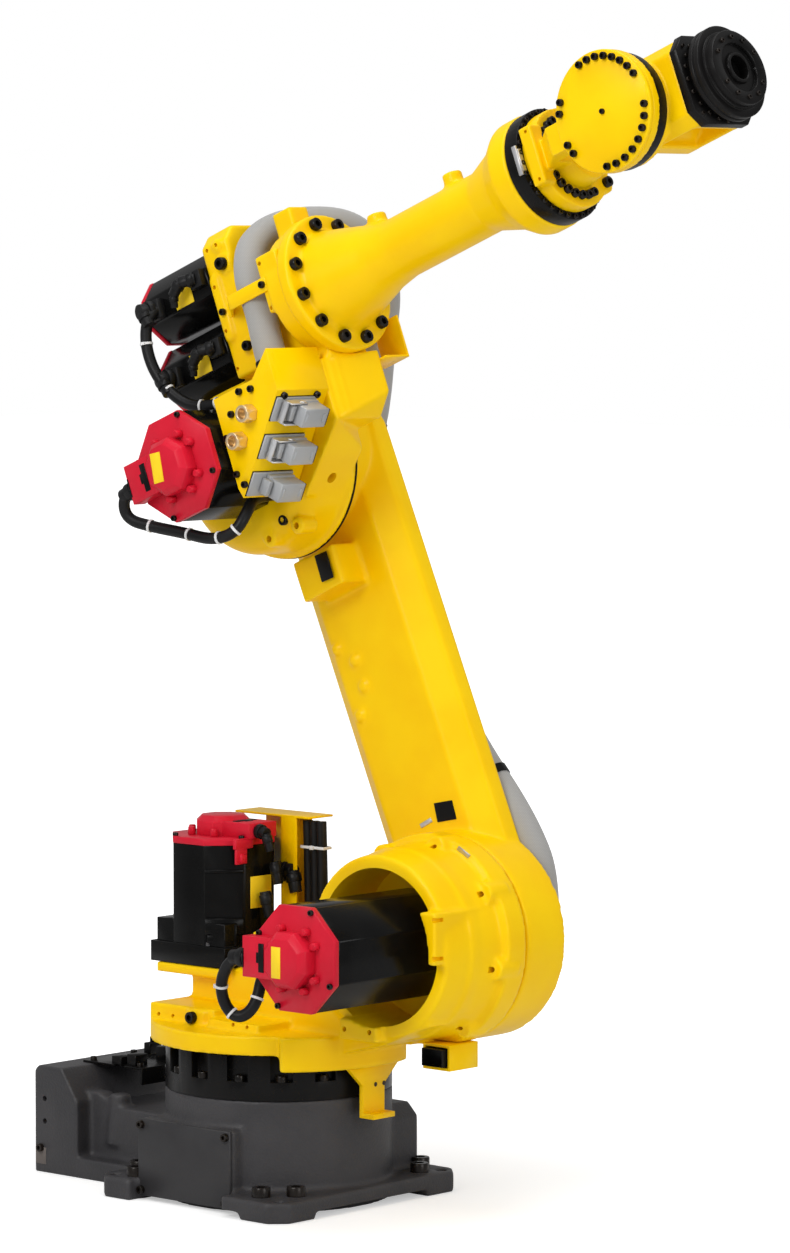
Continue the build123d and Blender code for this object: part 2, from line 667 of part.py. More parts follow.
# Notched sheet bracket from the top of the rear box toward the ring, with a lip turned down
with BuildPart() as cable_bracket:
    with BuildSketch(above(GROUND, REAR_BOX_HIGH)):
        with Locations((span(BRACKET_BACK, BRACKET_FRONT)[0], 0)):
            Rectangle(BRACKET_FRONT - BRACKET_BACK, 2 * BRACKET_HALF)
        with Locations((BRACKET_NOTCH_X, -BRACKET_HALF), (BRACKET_NOTCH_X, BRACKET_HALF)):
            Rectangle(BRACKET_NOTCH, BRACKET_NOTCH, mode=Mode.SUBTRACT)
    extrude(amount=SHEET)
    block(
        GROUND,
        (BRACKET_FRONT - SHEET, BRACKET_FRONT),
        (-BRACKET_HALF, BRACKET_HALF),
        (REAR_BOX_HIGH - BRACKET_LIP, REAR_BOX_HIGH),
    )
cable_bracket.part.label = "cable_bracket"
export_step(cable_bracket.part, "parts/cable_bracket.step")

# First-axis ring with a row of pockets round its upper half
with BuildPart() as j1_ring:
    with BuildSketch(TOWER):
        Circle(RING_RADIUS)
        Circle(RING_BORE, mode=Mode.SUBTRACT)
    extrude(amount=RING_HEIGHT)
    with BuildSketch(above(TOWER, POCKET_LOW)):
        with PolarLocations(RING_RADIUS, POCKET_COUNT):
            Rectangle(2 * POCKET_DEPTH, POCKET_WIDE)
    extrude(amount=POCKET_HIGH - POCKET_LOW, mode=Mode.SUBTRACT)
j1_ring.part.label = "j1_ring"
export_step(j1_ring.part, "parts/j1_ring.step")

# Turret casting: round flange, motor seat and the drum of the second axis, open toward -Y
with BuildPart() as turret_casting:
    with BuildSketch(TURRET):
        Circle(FLANGE_RADIUS)
    extrude(amount=FLANGE_HIGH)
    with BuildSketch(TURRET):
        Circle(HUB_RADIUS)
    extrude(amount=JOINT_GAP - RUNNING_GAP)
    with BuildSketch(above(TURRET, STOP_SECTOR_LOW)):
        with BuildLine():
            CenterArc((0, 0), STOP_SECTOR_OUTER, STOP_SECTOR_START, STOP_SECTOR_SWEEP)
            CenterArc((0, 0), STOP_SECTOR_INNER, STOP_SECTOR_START, STOP_SECTOR_SWEEP)
            for turn in (STOP_SECTOR_START, STOP_SECTOR_START + STOP_SECTOR_SWEEP):
                way = (cos(radians(turn)), sin(radians(turn)))
                Line(
                    (STOP_SECTOR_INNER * way[0], STOP_SECTOR_INNER * way[1]),
                    (STOP_SECTOR_OUTER * way[0], STOP_SECTOR_OUTER * way[1]),
                )
        make_face()
    extrude(amount=FLANGE_HIGH - STOP_SECTOR_LOW)
    block(TURRET, (FOOT_BLOCK_BACK, STEP_BLOCK_BACK), (FOOT_BLOCK_FACE, 0), (FLANGE_HIGH, FOOT_BLOCK_HIGH))
    block(TURRET, (STEP_BLOCK_BACK, FOOT_BLOCK_FRONT), (STEP_BLOCK_FACE, 0), (FLANGE_HIGH, STEP_BLOCK_HIGH))
    block(TURRET, (PEDESTAL_BACK, PEDESTAL_FRONT), (-PEDESTAL_HALF, PEDESTAL_HALF), (FLANGE_HIGH, SEAT_HIGH))
    block(
        TURRET,
        (MOTOR_1_X - SEAT_HALF_LENGTH, MOTOR_1_X + SEAT_HALF_LENGTH),
        (-SEAT_HALF_WIDTH, SEAT_HALF_WIDTH),
        (SEAT_HIGH - SEAT_THICK, SEAT_HIGH),
    )
    with BuildSketch(side(TURRET, WEB_FAR)):
        with BuildLine():
            Polyline(
                (WEB_BACK, 0),
                (WEB_FOOT, 0),
                (AXIS_2_AHEAD, WEB_LOW),
                (WEB_FRONT, WEB_HIGH),
                (WEB_FRONT, FLANGE_DROP),
                (WEB_BACK, FLANGE_DROP),
                close=True,
            )
        make_face()
    extrude(amount=WEB_FAR - WEB_NEAR)
    cross_disc(DRUM, 0, 0, DRUM_RADIUS, (DRUM_OPEN, DRUM_SEAM))
    cross_disc(DRUM, 0, 0, DRUM_STEP_RADIUS, (DRUM_STEP_START, DRUM_SEAM))
    cross_disc(DRUM, 0, 0, DRUM_FLANGE_RADIUS, (DRUM_FLANGE_START, DRUM_SEAM))
    block(
        DRUM,
        (DRUM_RADIUS - RIM_PAD_THICK, DRUM_RADIUS),
        (DRUM_OPEN - RIM_PAD_REACH, 0),
        (RIM_PAD_LOW, RIM_PAD_HIGH),
    )
    block(
        TURRET,
        (SIDE_PAD_X, SIDE_PAD_X + SIDE_PAD_LENGTH),
        (SIDE_PAD_FACE, 0),
        (SIDE_PAD_LOW, SIDE_PAD_HIGH),
    )
    cross_disc(DRUM, 0, 0, DRUM_INNER, (DRUM_OPEN - RIM_PAD_REACH, DRUM_FLOOR), Mode.SUBTRACT)
    block(
        TURRET,
        (POCKET_TUBE_BACK, POCKET_TUBE_FRONT),
        (POCKET_TUBE_NEAR, DRUM_SEAM),
        (STOP_SECTOR_LOW, POCKET_TUBE_HIGH),
        Mode.SUBTRACT,
    )
turret_casting.part.label = "turret_casting"
export_step(turret_casting.part, "parts/turret_casting.step")

# Hanging stop bracket under the front of the turret: flared top, narrow neck and an outward toe
with BuildPart() as stop_bracket:
    with BuildSketch(ahead(TURRET, STOP_PLATE_X)):
        with BuildLine():
            Polyline(
                (-STOP_TOP_HALF, STOP_SECTOR_LOW),
                (STOP_TOP_HALF, STOP_SECTOR_LOW),
                (STOP_NECK_HALF, STOP_NECK_START),
                (STOP_NECK_HALF, STOP_LOW),
                (-STOP_NECK_HALF, STOP_LOW),
                (-STOP_NECK_HALF, STOP_NECK_START),
                close=True,
            )
        make_face()
    extrude(amount=STOP_PLATE_THICK)
    block(
        TURRET,
        (STOP_PLATE_X + STOP_PLATE_THICK, STOP_PLATE_X + STOP_PLATE_THICK + STOP_TOE),
        (-STOP_NECK_HALF, STOP_NECK_HALF),
        (STOP_LOW, STOP_LOW + STOP_PLATE_THICK),
    )
stop_bracket.part.label = "stop_bracket"
export_step(stop_bracket.part, "parts/stop_bracket.step")

# Fork pocket: rectangular tube under the drum flange, open at both ends
with BuildPart() as fork_pocket:
    with BuildSketch(side(TURRET, POCKET_TUBE_FAR)):
        with Locations((span(POCKET_TUBE_BACK, POCKET_TUBE_FRONT)[0], span(POCKET_TUBE_LOW, POCKET_TUBE_HIGH)[0])):
            Rectangle(POCKET_TUBE_FRONT - POCKET_TUBE_BACK, POCKET_TUBE_HIGH - POCKET_TUBE_LOW)
            Rectangle(
                POCKET_TUBE_FRONT - POCKET_TUBE_BACK - 2 * POCKET_TUBE_WALL,
                POCKET_TUBE_HIGH - POCKET_TUBE_LOW - 2 * POCKET_TUBE_WALL,
                mode=Mode.SUBTRACT,
            )
    extrude(amount=POCKET_TUBE_FAR - POCKET_TUBE_NEAR)
fork_pocket.part.label = "fork_pocket"
export_step(fork_pocket.part, "parts/fork_pocket.step")

# First-axis motor, upright on the seat
with BuildPart() as j1_motor_body:
    with BuildSketch(above(TURRET, SEAT_HIGH)):
        with Locations((MOTOR_1_X, 0)):
            octagon(MOTOR_FLATS)
    extrude(amount=MOTOR_1_TOP - SEAT_HIGH)
    block(
        TURRET,
        (MOTOR_1_X - MOTOR_1_FOOT_HALF, MOTOR_1_X + MOTOR_1_FOOT_HALF),
        (-MOTOR_1_FOOT_HALF, MOTOR_1_FOOT_HALF),
        (SEAT_HIGH, SEAT_HIGH + MOTOR_1_FOOT_HIGH),
    )
    block(
        TURRET,
        (MOTOR_1_X - MOTOR_1_WAIST_HALF, MOTOR_1_X + MOTOR_1_WAIST_HALF),
        (-MOTOR_1_WAIST_HALF, MOTOR_1_WAIST_HALF),
        (SEAT_HIGH, SEAT_HIGH + MOTOR_1_WAIST_HIGH),
    )
j1_motor_body.part.label = "j1_motor_body"
export_step(j1_motor_body.part, "parts/j1_motor_body.step")

with BuildPart() as j1_motor_cap:
    with BuildSketch(above(TURRET, MOTOR_1_TOP)):
        with Locations((MOTOR_1_X, 0)):
            octagon(MOTOR_FLATS + 2 * MOTOR_CAP_OVER)
    extrude(amount=MOTOR_CAP_THICK)
j1_motor_cap.part.label = "j1_motor_cap"
export_step(j1_motor_cap.part, "parts/j1_motor_cap.step")

MOTOR_1 = Plane(
    origin=TURRET.from_local_coords((MOTOR_1_X, 0, MOTOR_1_TOP + MOTOR_CAP_THICK)),
    x_dir=TURRET.x_dir,
    z_dir=TURRET.z_dir,
)
with BuildPart() as j1_encoder_cover:
    encoder_cover(MOTOR_1)
j1_encoder_cover.part.label = "j1_encoder_cover"
export_step(j1_encoder_cover.part, "parts/j1_encoder_cover.step")

# Second-axis motor, level inside the drum
with BuildPart() as j2_motor_body:
    with BuildSketch(side(DRUM, DRUM_FLOOR)):
        octagon(MOTOR_FLATS)
    extrude(amount=DRUM_FLOOR - MOTOR_2_CAP_FACE - MOTOR_CAP_THICK)
j2_motor_body.part.label = "j2_motor_body"
export_step(j2_motor_body.part, "parts/j2_motor_body.step")

with BuildPart() as j2_motor_cap:
    with BuildSketch(side(DRUM, MOTOR_2_CAP_FACE + MOTOR_CAP_THICK)):
        octagon(MOTOR_FLATS + 2 * MOTOR_CAP_OVER)
    extrude(amount=MOTOR_CAP_THICK)
j2_motor_cap.part.label = "j2_motor_cap"
export_step(j2_motor_cap.part, "parts/j2_motor_cap.step")

with BuildPart() as j2_encoder_cover:
    encoder_cover(turned(side(DRUM, MOTOR_2_CAP_FACE)))
j2_encoder_cover.part.label = "j2_encoder_cover"
export_step(j2_encoder_cover.part, "parts/j2_encoder_cover.step")

# Sheet wiring cover beside the first-axis motor: back plate, side, front band and a roof
with BuildPart() as wiring_cover:
    block(TURRET, (COVER_BACK, COVER_FRONT), (COVER_FACE - SHEET, COVER_FACE), (FLANGE_HIGH, COVER_PLATE_HIGH))
    block(TURRET, (COVER_BACK, COVER_BACK + SHEET), (COVER_NEAR, COVER_FACE), (FLANGE_HIGH + SEAT_HIGH, COVER_TOP))
    block(TURRET, (COVER_WIDE_BACK, COVER_WIDE_FRONT), (COVER_FACE - SHEET, COVER_FACE), (COVER_WIDE_LOW, COVER_TOP))
    block(TURRET, (COVER_BACK, COVER_BAND), (COVER_NEAR, COVER_NEAR + SHEET), (FLANGE_HIGH + SEAT_HIGH, COVER_TOP))
    block(TURRET, (COVER_ROOF_BACK, COVER_FRONT), (COVER_NEAR, COVER_ROOF_FAR), (COVER_TOP - SHEET, COVER_TOP))
wiring_cover.part.label = "wiring_cover"
export_step(wiring_cover.part, "parts/wiring_cover.step")

# Upright leads inside the wiring cover
with BuildPart() as turret_cable:
    for lead in range(LEAD_COUNT):
        lead_x = LEAD_X + lead * LEAD_PITCH
        tube(
            placed(
                TURRET,
                [
                    (lead_x + LEAD_LEAN, LEAD_Y, COVER_TOP - SHEET - RUNNING_GAP),
                    (lead_x, LEAD_Y, LEAD_MIDDLE),
                    (lead_x, LEAD_Y, FLANGE_HIGH + JOINT_GAP),
                ],
            ),
            LEAD_RADIUS,
        )
turret_cable.part.label = "turret_cable"
export_step(turret_cable.part, "parts/turret_cable.step")

# Lead of the second-axis motor, hanging in a loop from its cover back to its housing
with BuildPart() as j2_motor_cable:
    tube(placed(DRUM, LOOP_ROUTE), CABLE_RADIUS)
j2_motor_cable.part.label = "j2_motor_cable"
export_step(j2_motor_cable.part, "parts/j2_motor_cable.step")

# Lower arm casting: bevelled beam between the second-axis hub and the third-axis head
with BuildPart() as lower_arm_casting:
    with BuildSketch(above(ARM, 0)):
        with BuildLine():
            Polyline(
                (-ARM_HALF, ARM_FAR),
                (ARM_HALF, ARM_FAR),
                (ARM_HALF, ARM_BEVEL),
                (ARM_FACE_HALF, ARM_NEAR),
                (-ARM_FACE_HALF, ARM_NEAR),
                (-ARM_HALF, ARM_BEVEL),
                close=True,
            )
        make_face()
    extrude(amount=LOWER_ARM_LENGTH)
    cross_disc(ARM, 0, 0, ARM_HUB_RADIUS, (DRUM_SEAM + SEAM_GROOVE, ARM_HUB_FAR))
    cross_disc(ARM, 0, 0, SEAM_SPIGOT_RADIUS, (DRUM_SEAM + JOINT_GAP, ARM_HUB_FAR))
    cross_disc(ARM, 0, LOWER_ARM_LENGTH, ARM_HALF, (ARM_BEVEL, ARM_FAR))
    cross_disc(ARM, 0, LOWER_ARM_LENGTH, ARM_BOSS_RADIUS, (ELBOW_SEAM + JOINT_GAP, ARM_BEVEL))
    block(ARM, (LUG_BACK, LUG_FRONT), (LUG_FACE, ARM_NEAR), (LUG_LOW, LUG_HIGH))
    with BuildSketch(side(ARM, ARM_NEAR)):
        with Locations(*BOSS_SPOTS):
            Circle(BOSS_RADIUS)
    extrude(amount=BOSS_HEIGHT)
lower_arm_casting.part.label = "lower_arm_casting"
export_step(lower_arm_casting.part, "parts/lower_arm_casting.step")

# Sleeve along the far side of the lower arm
with BuildPart() as arm_sleeve:
    tube(placed(ARM, ARM_SLEEVE_ROUTE), SLEEVE_RADIUS)
arm_sleeve.part.label = "arm_sleeve"
export_step(arm_sleeve.part, "parts/arm_sleeve.step")

# Elbow casting: round third-axis housing, neck behind the forearm flange and the rear gear case
with BuildPart() as elbow_casting:
    cross_disc(ELBOW, 0, 0, ELBOW_RADIUS, (ELBOW_NEAR, ELBOW_SEAM))
    rims = elbow_casting.edges().filter_by(GeomType.CIRCLE)
    fillet(rims.sort_by(Axis(ELBOW.origin, ELBOW.y_dir))[0], radius=ELBOW_ROUND)
    block(
        ELBOW,
        (-ELBOW_RADIUS, GEARCASE_BACK),
        (ELBOW_NEAR, ELBOW_HEAD_NEAR),
        (GEARCASE_LOW, ELBOW_RADIUS),
        Mode.SUBTRACT,
    )
    cross_disc(ELBOW, 0, 0, ELBOW_HEAD_RADIUS, (ELBOW_HEAD_NEAR, ELBOW_SEAM))
    with BuildSketch(side(ELBOW, ELBOW_SEAM)):
        with BuildLine():
            Polyline(
                (GEARCASE_BACK, 0),
                (ELBOW_RADIUS, NECK_LOW),
                (NECK_FRONT - NECK_EDGE, NECK_LOW),
                (NECK_FRONT, NECK_LOW + NECK_EDGE),
                (NECK_FRONT, NECK_SHELF),
                (ROOT_START, NECK_SHELF),
                (ROOT_START, FOREARM_OFFSET),
                (GEARCASE_BACK, FOREARM_OFFSET),
                close=True,
            )
        make_face()
    extrude(amount=ELBOW_SEAM - NECK_NEAR)
    with BuildSketch(above(ELBOW, NECK_LOW)):
        with BuildLine():
            Polyline((NECK_CUT_X, ELBOW_NEAR), (NECK_FRONT, ELBOW_NEAR), (NECK_FRONT, ELBOW_SEAM), close=True)
        make_face()
    extrude(amount=NECK_SHELF - NECK_LOW, mode=Mode.SUBTRACT)
    block(ELBOW, (GEARCASE_BACK, NECK_CUT_X), (ELBOW_NEAR, 0), (NECK_LOW, NECK_SHELF))
    with BuildSketch(side(ELBOW, SHOULDER_FAR)):
        with BuildLine():
            Polyline(
                (SHOULDER_BACK, NECK_LOW),
                (SHOULDER_FRONT, NECK_LOW),
                (SHOULDER_LOW_X, SHOULDER_LOW),
                close=True,
            )
        make_face()
    extrude(amount=SHOULDER_FAR - SHOULDER_NEAR)
    with BuildSketch(above(ELBOW, SHOULDER_LOW)):
        with BuildLine():
            Polyline(
                (SHOULDER_FRONT, SHOULDER_NEAR),
                (SHOULDER_FRONT, SHOULDER_FAR),
                (SHOULDER_FRONT_FAR, SHOULDER_FAR),
                close=True,
            )
        make_face()
    extrude(amount=NECK_LOW - SHOULDER_LOW, mode=Mode.SUBTRACT)
    block(ELBOW, (GEARCASE_BACK, ROOT_START), (-WEB_Y_HALF, WEB_Y_HALF), (0, NECK_HIGH))
    with BuildSketch(ahead(ELBOW, NECK_RING_START)):
        with Locations((0, FOREARM_OFFSET)):
            Circle(NECK_RING_RADIUS)
    extrude(amount=ROOT_START - NECK_RING_START)
    block(ELBOW, (SIDE_LUG_BACK, ROOT_START), (SIDE_LUG_NEAR, SIDE_LUG_FAR), (SIDE_LUG_LOW, SIDE_LUG_HIGH))
    block(ELBOW, (TOP_LUG_BACK, ROOT_START), (TOP_LUG_NEAR, TOP_LUG_FAR), (FOREARM_OFFSET, TOP_LUG_HIGH))
    with BuildSketch(ahead(ELBOW, GEARCASE_BACK)):
        with BuildLine():
            Polyline(
                (GEARCASE_NEAR, GEARCASE_LOW),
                (GEARCASE_FAR, GEARCASE_LOW),
                (GEARCASE_FAR, GEARCASE_HIGH - GEARCASE_CORNER),
                (GEARCASE_FAR - GEARCASE_CORNER, GEARCASE_HIGH),
                (GEARCASE_NEAR + GEARCASE_CORNER, GEARCASE_HIGH),
                (GEARCASE_NEAR, GEARCASE_HIGH - GEARCASE_CORNER),
                close=True,
            )
        make_face()
    extrude(amount=GEARCASE_FRONT - GEARCASE_BACK)
elbow_casting.part.label = "elbow_casting"
export_step(elbow_casting.part, "parts/elbow_casting.step")

# Third-axis motor, level on the near side of the elbow
with BuildPart() as j3_motor_body:
    with BuildSketch(side(ELBOW, ELBOW_NEAR)):
        octagon(MOTOR_FLATS)
    extrude(amount=ELBOW_NEAR - MOTOR_3_CAP_FACE - MOTOR_CAP_THICK)
j3_motor_body.part.label = "j3_motor_body"
export_step(j3_motor_body.part, "parts/j3_motor_body.step")

with BuildPart() as j3_motor_cap:
    with BuildSketch(side(ELBOW, MOTOR_3_CAP_FACE + MOTOR_CAP_THICK)):
        octagon(MOTOR_FLATS + 2 * MOTOR_CAP_OVER)
    extrude(amount=MOTOR_CAP_THICK)
j3_motor_cap.part.label = "j3_motor_cap"
export_step(j3_motor_cap.part, "parts/j3_motor_cap.step")

with BuildPart() as j3_encoder_cover:
    encoder_cover(turned(side(ELBOW, MOTOR_3_CAP_FACE)))
j3_encoder_cover.part.label = "j3_encoder_cover"
export_step(j3_encoder_cover.part, "parts/j3_encoder_cover.step")

# Two small motors behind the gear case
with BuildPart() as j4_motor_body:
    with BuildSketch(ahead(ELBOW, GEARCASE_BACK)):
        with Locations((SMALL_MOTOR_Y, MOTOR_4_Z)):
            octagon(SMALL_MOTOR_FLATS)
    extrude(amount=-SMALL_MOTOR_LENGTH)
j4_motor_body.part.label = "j4_motor_body"
export_step(j4_motor_body.part, "parts/j4_motor_body.step")

with BuildPart() as j4_motor_cap:
    with BuildSketch(ahead(ELBOW, GEARCASE_BACK - SMALL_MOTOR_LENGTH)):
        with Locations((SMALL_MOTOR_Y, MOTOR_4_Z)):
            octagon(SMALL_MOTOR_FLATS + 2 * MOTOR_CAP_OVER)
    extrude(amount=-SMALL_CAP_THICK)
j4_motor_cap.part.label = "j4_motor_cap"
export_step(j4_motor_cap.part, "parts/j4_motor_cap.step")

with BuildPart() as j5_motor_body:
    with BuildSketch(ahead(ELBOW, GEARCASE_BACK)):
        with Locations((SMALL_MOTOR_Y, MOTOR_5_Z)):
            octagon(SMALL_MOTOR_FLATS)
    extrude(amount=-SMALL_MOTOR_LENGTH)
j5_motor_body.part.label = "j5_motor_body"
export_step(j5_motor_body.part, "parts/j5_motor_body.step")

with BuildPart() as j5_motor_cap:
    with BuildSketch(ahead(ELBOW, GEARCASE_BACK - SMALL_MOTOR_LENGTH)):
        with Locations((SMALL_MOTOR_Y, MOTOR_5_Z)):
            octagon(SMALL_MOTOR_FLATS + 2 * MOTOR_CAP_OVER)
    extrude(amount=-SMALL_CAP_THICK)
j5_motor_cap.part.label = "j5_motor_cap"
export_step(j5_motor_cap.part, "parts/j5_motor_cap.step")

# Lead from the third-axis motor cover, under the motor to the elbow casting
with BuildPart() as j3_motor_cable:
    tube(placed(ELBOW, SENSOR_LEAD_ROUTE), CABLE_RADIUS)
j3_motor_cable.part.label = "j3_motor_cable"
export_step(j3_motor_cable.part, "parts/j3_motor_cable.step")

# Lead from the small motors to the connector box
with BuildPart() as j4_motor_cable:
    tube(placed(ELBOW, PAIR_LEAD_ROUTE), CABLE_RADIUS)
j4_motor_cable.part.label = "j4_motor_cable"
export_step(j4_motor_cable.part, "parts/j4_motor_cable.step")

# Connector box beside the third-axis motor: flat near panel, sloped socket face and a raised brow
SLOPE_STEP = BOX_SLOPE / sqrt(2)
with BuildPart() as connector_box:
    with BuildSketch(side(ELBOW, ELBOW_NEAR)):
        with BuildLine():
            Polyline(
                (BOX_BACK, BOX_TOP),
                (BOX_TOP_FRONT, BOX_TOP),
                (BOX_NOSE_X, BOX_TIP),
                (BOX_NOSE_X, BOX_NOSE_Z),
                (BOX_NOSE_X - SLOPE_STEP, BOX_NOSE_Z - SLOPE_STEP),
                (BOX_BACK, BOX_NOSE_Z - SLOPE_STEP + BOX_HEEL),
                close=True,
            )
        make_face()
    extrude(amount=ELBOW_NEAR - BOX_FACE)
connector_box.part.label = "connector_box"
export_step(connector_box.part, "parts/connector_box.step")

# Three hooded connectors on the sloped face
with BuildPart() as connector_upper:
    hooded_connector(0)
connector_upper.part.label = "connector_upper"
export_step(connector_upper.part, "parts/connector_upper.step")

with BuildPart() as connector_middle:
    hooded_connector(1)
connector_middle.part.label = "connector_middle"
export_step(connector_middle.part, "parts/connector_middle.step")

with BuildPart() as connector_lower:
    hooded_connector(2)
connector_lower.part.label = "connector_lower"
export_step(connector_lower.part, "parts/connector_lower.step")

# Two hexagon air fittings on the near panel
with BuildPart() as air_fitting_upper:
    with BuildSketch(side(ELBOW, BOX_FACE)):
        with Locations(FITTING_UPPER):
            RegularPolygon(FITTING_RADIUS, FITTING_SIDES)
    extrude(amount=FITTING_LENGTH)
air_fitting_upper.part.label = "air_fitting_upper"
export_step(air_fitting_upper.part, "parts/air_fitting_upper.step")

with BuildPart() as air_fitting_lower:
    with BuildSketch(side(ELBOW, BOX_FACE)):
        with Locations(FITTING_LOWER):
            RegularPolygon(FITTING_RADIUS, FITTING_SIDES)
    extrude(amount=FITTING_LENGTH)
air_fitting_lower.part.label = "air_fitting_lower"
export_step(air_fitting_lower.part, "parts/air_fitting_lower.step")

# Sleeve from the far side over the elbow and down to the connector box
with BuildPart() as elbow_sleeve:
    tube(placed(ELBOW, ELBOW_SLEEVE_ROUTE), SLEEVE_RADIUS)
elbow_sleeve.part.label = "elbow_sleeve"
export_step(elbow_sleeve.part, "parts/elbow_sleeve.step")

# Flat strap that holds the sleeve, from the gear case to the side lug
with BuildPart() as hose_strap:
    with BuildSketch(above(ELBOW, STRAP_LOW)):
        with BuildLine():
            Polyline(
                (STRAP_BACK, GEARCASE_NEAR),
                (STRAP_BEND, GEARCASE_NEAR),
                (STRAP_RISE, SIDE_LUG_NEAR),
                (STRAP_FRONT, SIDE_LUG_NEAR),
                (STRAP_FRONT, SIDE_LUG_NEAR - SHEET),
                (STRAP_RISE - SHEET, SIDE_LUG_NEAR - SHEET),
                (STRAP_BEND - SHEET, GEARCASE_NEAR - SHEET),
                (STRAP_BACK, GEARCASE_NEAR - SHEET),
                close=True,
            )
        make_face()
    extrude(amount=STRAP_WIDE)
hose_strap.part.label = "hose_strap"
export_step(hose_strap.part, "parts/hose_strap.step")

# Sheet bracket on the far side of the neck
with BuildPart() as far_bracket:
    block(
        ELBOW,
        (FAR_BRACKET_BACK, FAR_BRACKET_FRONT),
        (FAR_BRACKET_FACE - SHEET, FAR_BRACKET_FACE),
        (FAR_BRACKET_LOW, FAR_BRACKET_HIGH),
    )
    block(
        ELBOW,
        (FAR_BRACKET_BACK, FAR_BRACKET_FRONT),
        (ELBOW_SEAM, FAR_BRACKET_FACE),
        (FAR_BRACKET_LOW, FAR_BRACKET_LOW + SHEET),
    )
far_bracket.part.label = "far_bracket"
export_step(far_bracket.part, "parts/far_bracket.step")

# Forearm tube turned about the fourth axis, with two bosses on top
with BuildPart() as forearm:
    with BuildSketch(Plane(origin=ELBOW.from_local_coords((0, 0, FOREARM_OFFSET)), x_dir=ELBOW.x_dir, z_dir=-ELBOW.y_dir)):
        with BuildLine():
            Polyline(
                (ROOT_START, 0),
                (ROOT_START, ROOT_RADIUS),
                (ROOT_START + ROOT_THICK, ROOT_RADIUS),
                (ROOT_START + ROOT_THICK, BULB_RADIUS),
                (BULB_END, BULB_END_RADIUS),
                (TUBE_START, TUBE_RADIUS),
                (TUBE_END, TUBE_RADIUS),
                (FLARE_MID, FLARE_MID_RADIUS),
                (FLARE_END, FLARE_RADIUS),
                (RING_4_START, FLARE_RADIUS),
                (RING_4_START, 0),
                close=True,
            )
        make_face()
    revolve(axis=Axis(ELBOW.from_local_coords((0, 0, FOREARM_OFFSET)), ELBOW.x_dir))
    with BuildSketch(above(ELBOW, FOREARM_OFFSET)):
        with Locations(*[(station, 0) for station in TUBE_BOSSES]):
            Circle(TUBE_BOSS_RADIUS)
    extrude(amount=TUBE_BOSS_HIGH)
forearm.part.label = "forearm"
export_step(forearm.part, "parts/forearm.step")

with BuildPart() as j4_ring:
    with BuildSketch(ahead(ELBOW, RING_4_START)):
        with Locations((0, FOREARM_OFFSET)):
            Circle(RING_4_RADIUS)
    extrude(amount=RING_4_END - RING_4_START)
j4_ring.part.label = "j4_ring"
export_step(j4_ring.part, "parts/j4_ring.step")

# Wrist casting: flange on the fourth axis, neck and a side arm to the fifth-axis disc
WRIST_START = RING_4_END + JOINT_GAP - FOREARM_LENGTH
with BuildPart() as wrist_casting:
    with BuildSketch(ahead(WRIST, WRIST_START)):
        Circle(WRIST_FLANGE_RADIUS)
    extrude(amount=WRIST_FLANGE_THICK)
    with BuildSketch(ahead(WRIST, WRIST_START)):
        Circle(WRIST_NECK_RADIUS)
    extrude(amount=WRIST_NECK_END - WRIST_START)
    with BuildSketch(above(WRIST, -WRIST_ARM_HALF)):
        with BuildLine():
            Polyline(
                (WRIST_START, 0),
                (WRIST_START, WRIST_ARM_SIDE),
                (WRIST_START + WRIST_FLANGE_THICK, WRIST_ARM_SIDE),
                (WRIST_ARM_OUTER, WRIST_FACE),
                (0, WRIST_FACE),
                (0, WRIST_INNER),
                (WRIST_LINK_FRONT, WRIST_INNER),
                (WRIST_LINK_FRONT, WRIST_LINK_INNER),
                (WRIST_NECK_END, WRIST_LINK_INNER),
                (WRIST_NECK_END, 0),
                close=True,
            )
        make_face()
    extrude(amount=2 * WRIST_ARM_HALF)
    block(
        WRIST,
        (WRIST_PAD_BACK, WRIST_PAD_FRONT),
        (WRIST_PAD_NEAR, WRIST_PAD_FAR),
        (WRIST_PAD_LOW, WRIST_PAD_HIGH),
    )
    cross_disc(WRIST, 0, 0, WRIST_RADIUS, (WRIST_FACE, WRIST_INNER))
wrist_casting.part.label = "wrist_casting"
export_step(wrist_casting.part, "parts/wrist_casting.step")

with BuildPart() as j5_cover:
    cross_disc(WRIST, 0, 0, WRIST_RADIUS, (WRIST_COVER_FACE, WRIST_FACE))
j5_cover.part.label = "j5_cover"
export_step(j5_cover.part, "parts/j5_cover.step")

with BuildPart() as j5_ring:
    cross_disc(WRIST, 0, 0, RING_5_RADIUS, (WRIST_INNER, RING_5_END))
j5_ring.part.label = "j5_ring"
export_step(j5_ring.part, "parts/j5_ring.step")

# Hand casting between the fifth and sixth axes: wide cheek, hub and a block that is open below
with BuildPart() as hand_casting:
    cross_disc(WRIST, 0, 0, HAND_CHEEK_RADIUS, (RING_5_END + JOINT_GAP, HAND_CHEEK_FAR))
    with BuildSketch(ahead(WRIST, 0)):
        Rectangle(2 * HAND_HALF, 2 * HAND_HALF)
        chamfer(vertices(), length=HAND_EDGE)
    extrude(amount=HAND_PLATE_START)
    block(
        WRIST,
        (HAND_POCKET_BACK, HAND_POCKET_FRONT),
        (-HAND_POCKET_HALF, HAND_POCKET_HALF),
        (-HAND_HALF, HAND_POCKET_DEEP - HAND_HALF),
        Mode.SUBTRACT,
    )
    cross_disc(WRIST, 0, 0, HAND_RADIUS, (RING_5_END + JOINT_GAP, HAND_FAR))
hand_casting.part.label = "hand_casting"
export_step(hand_casting.part, "parts/hand_casting.step")

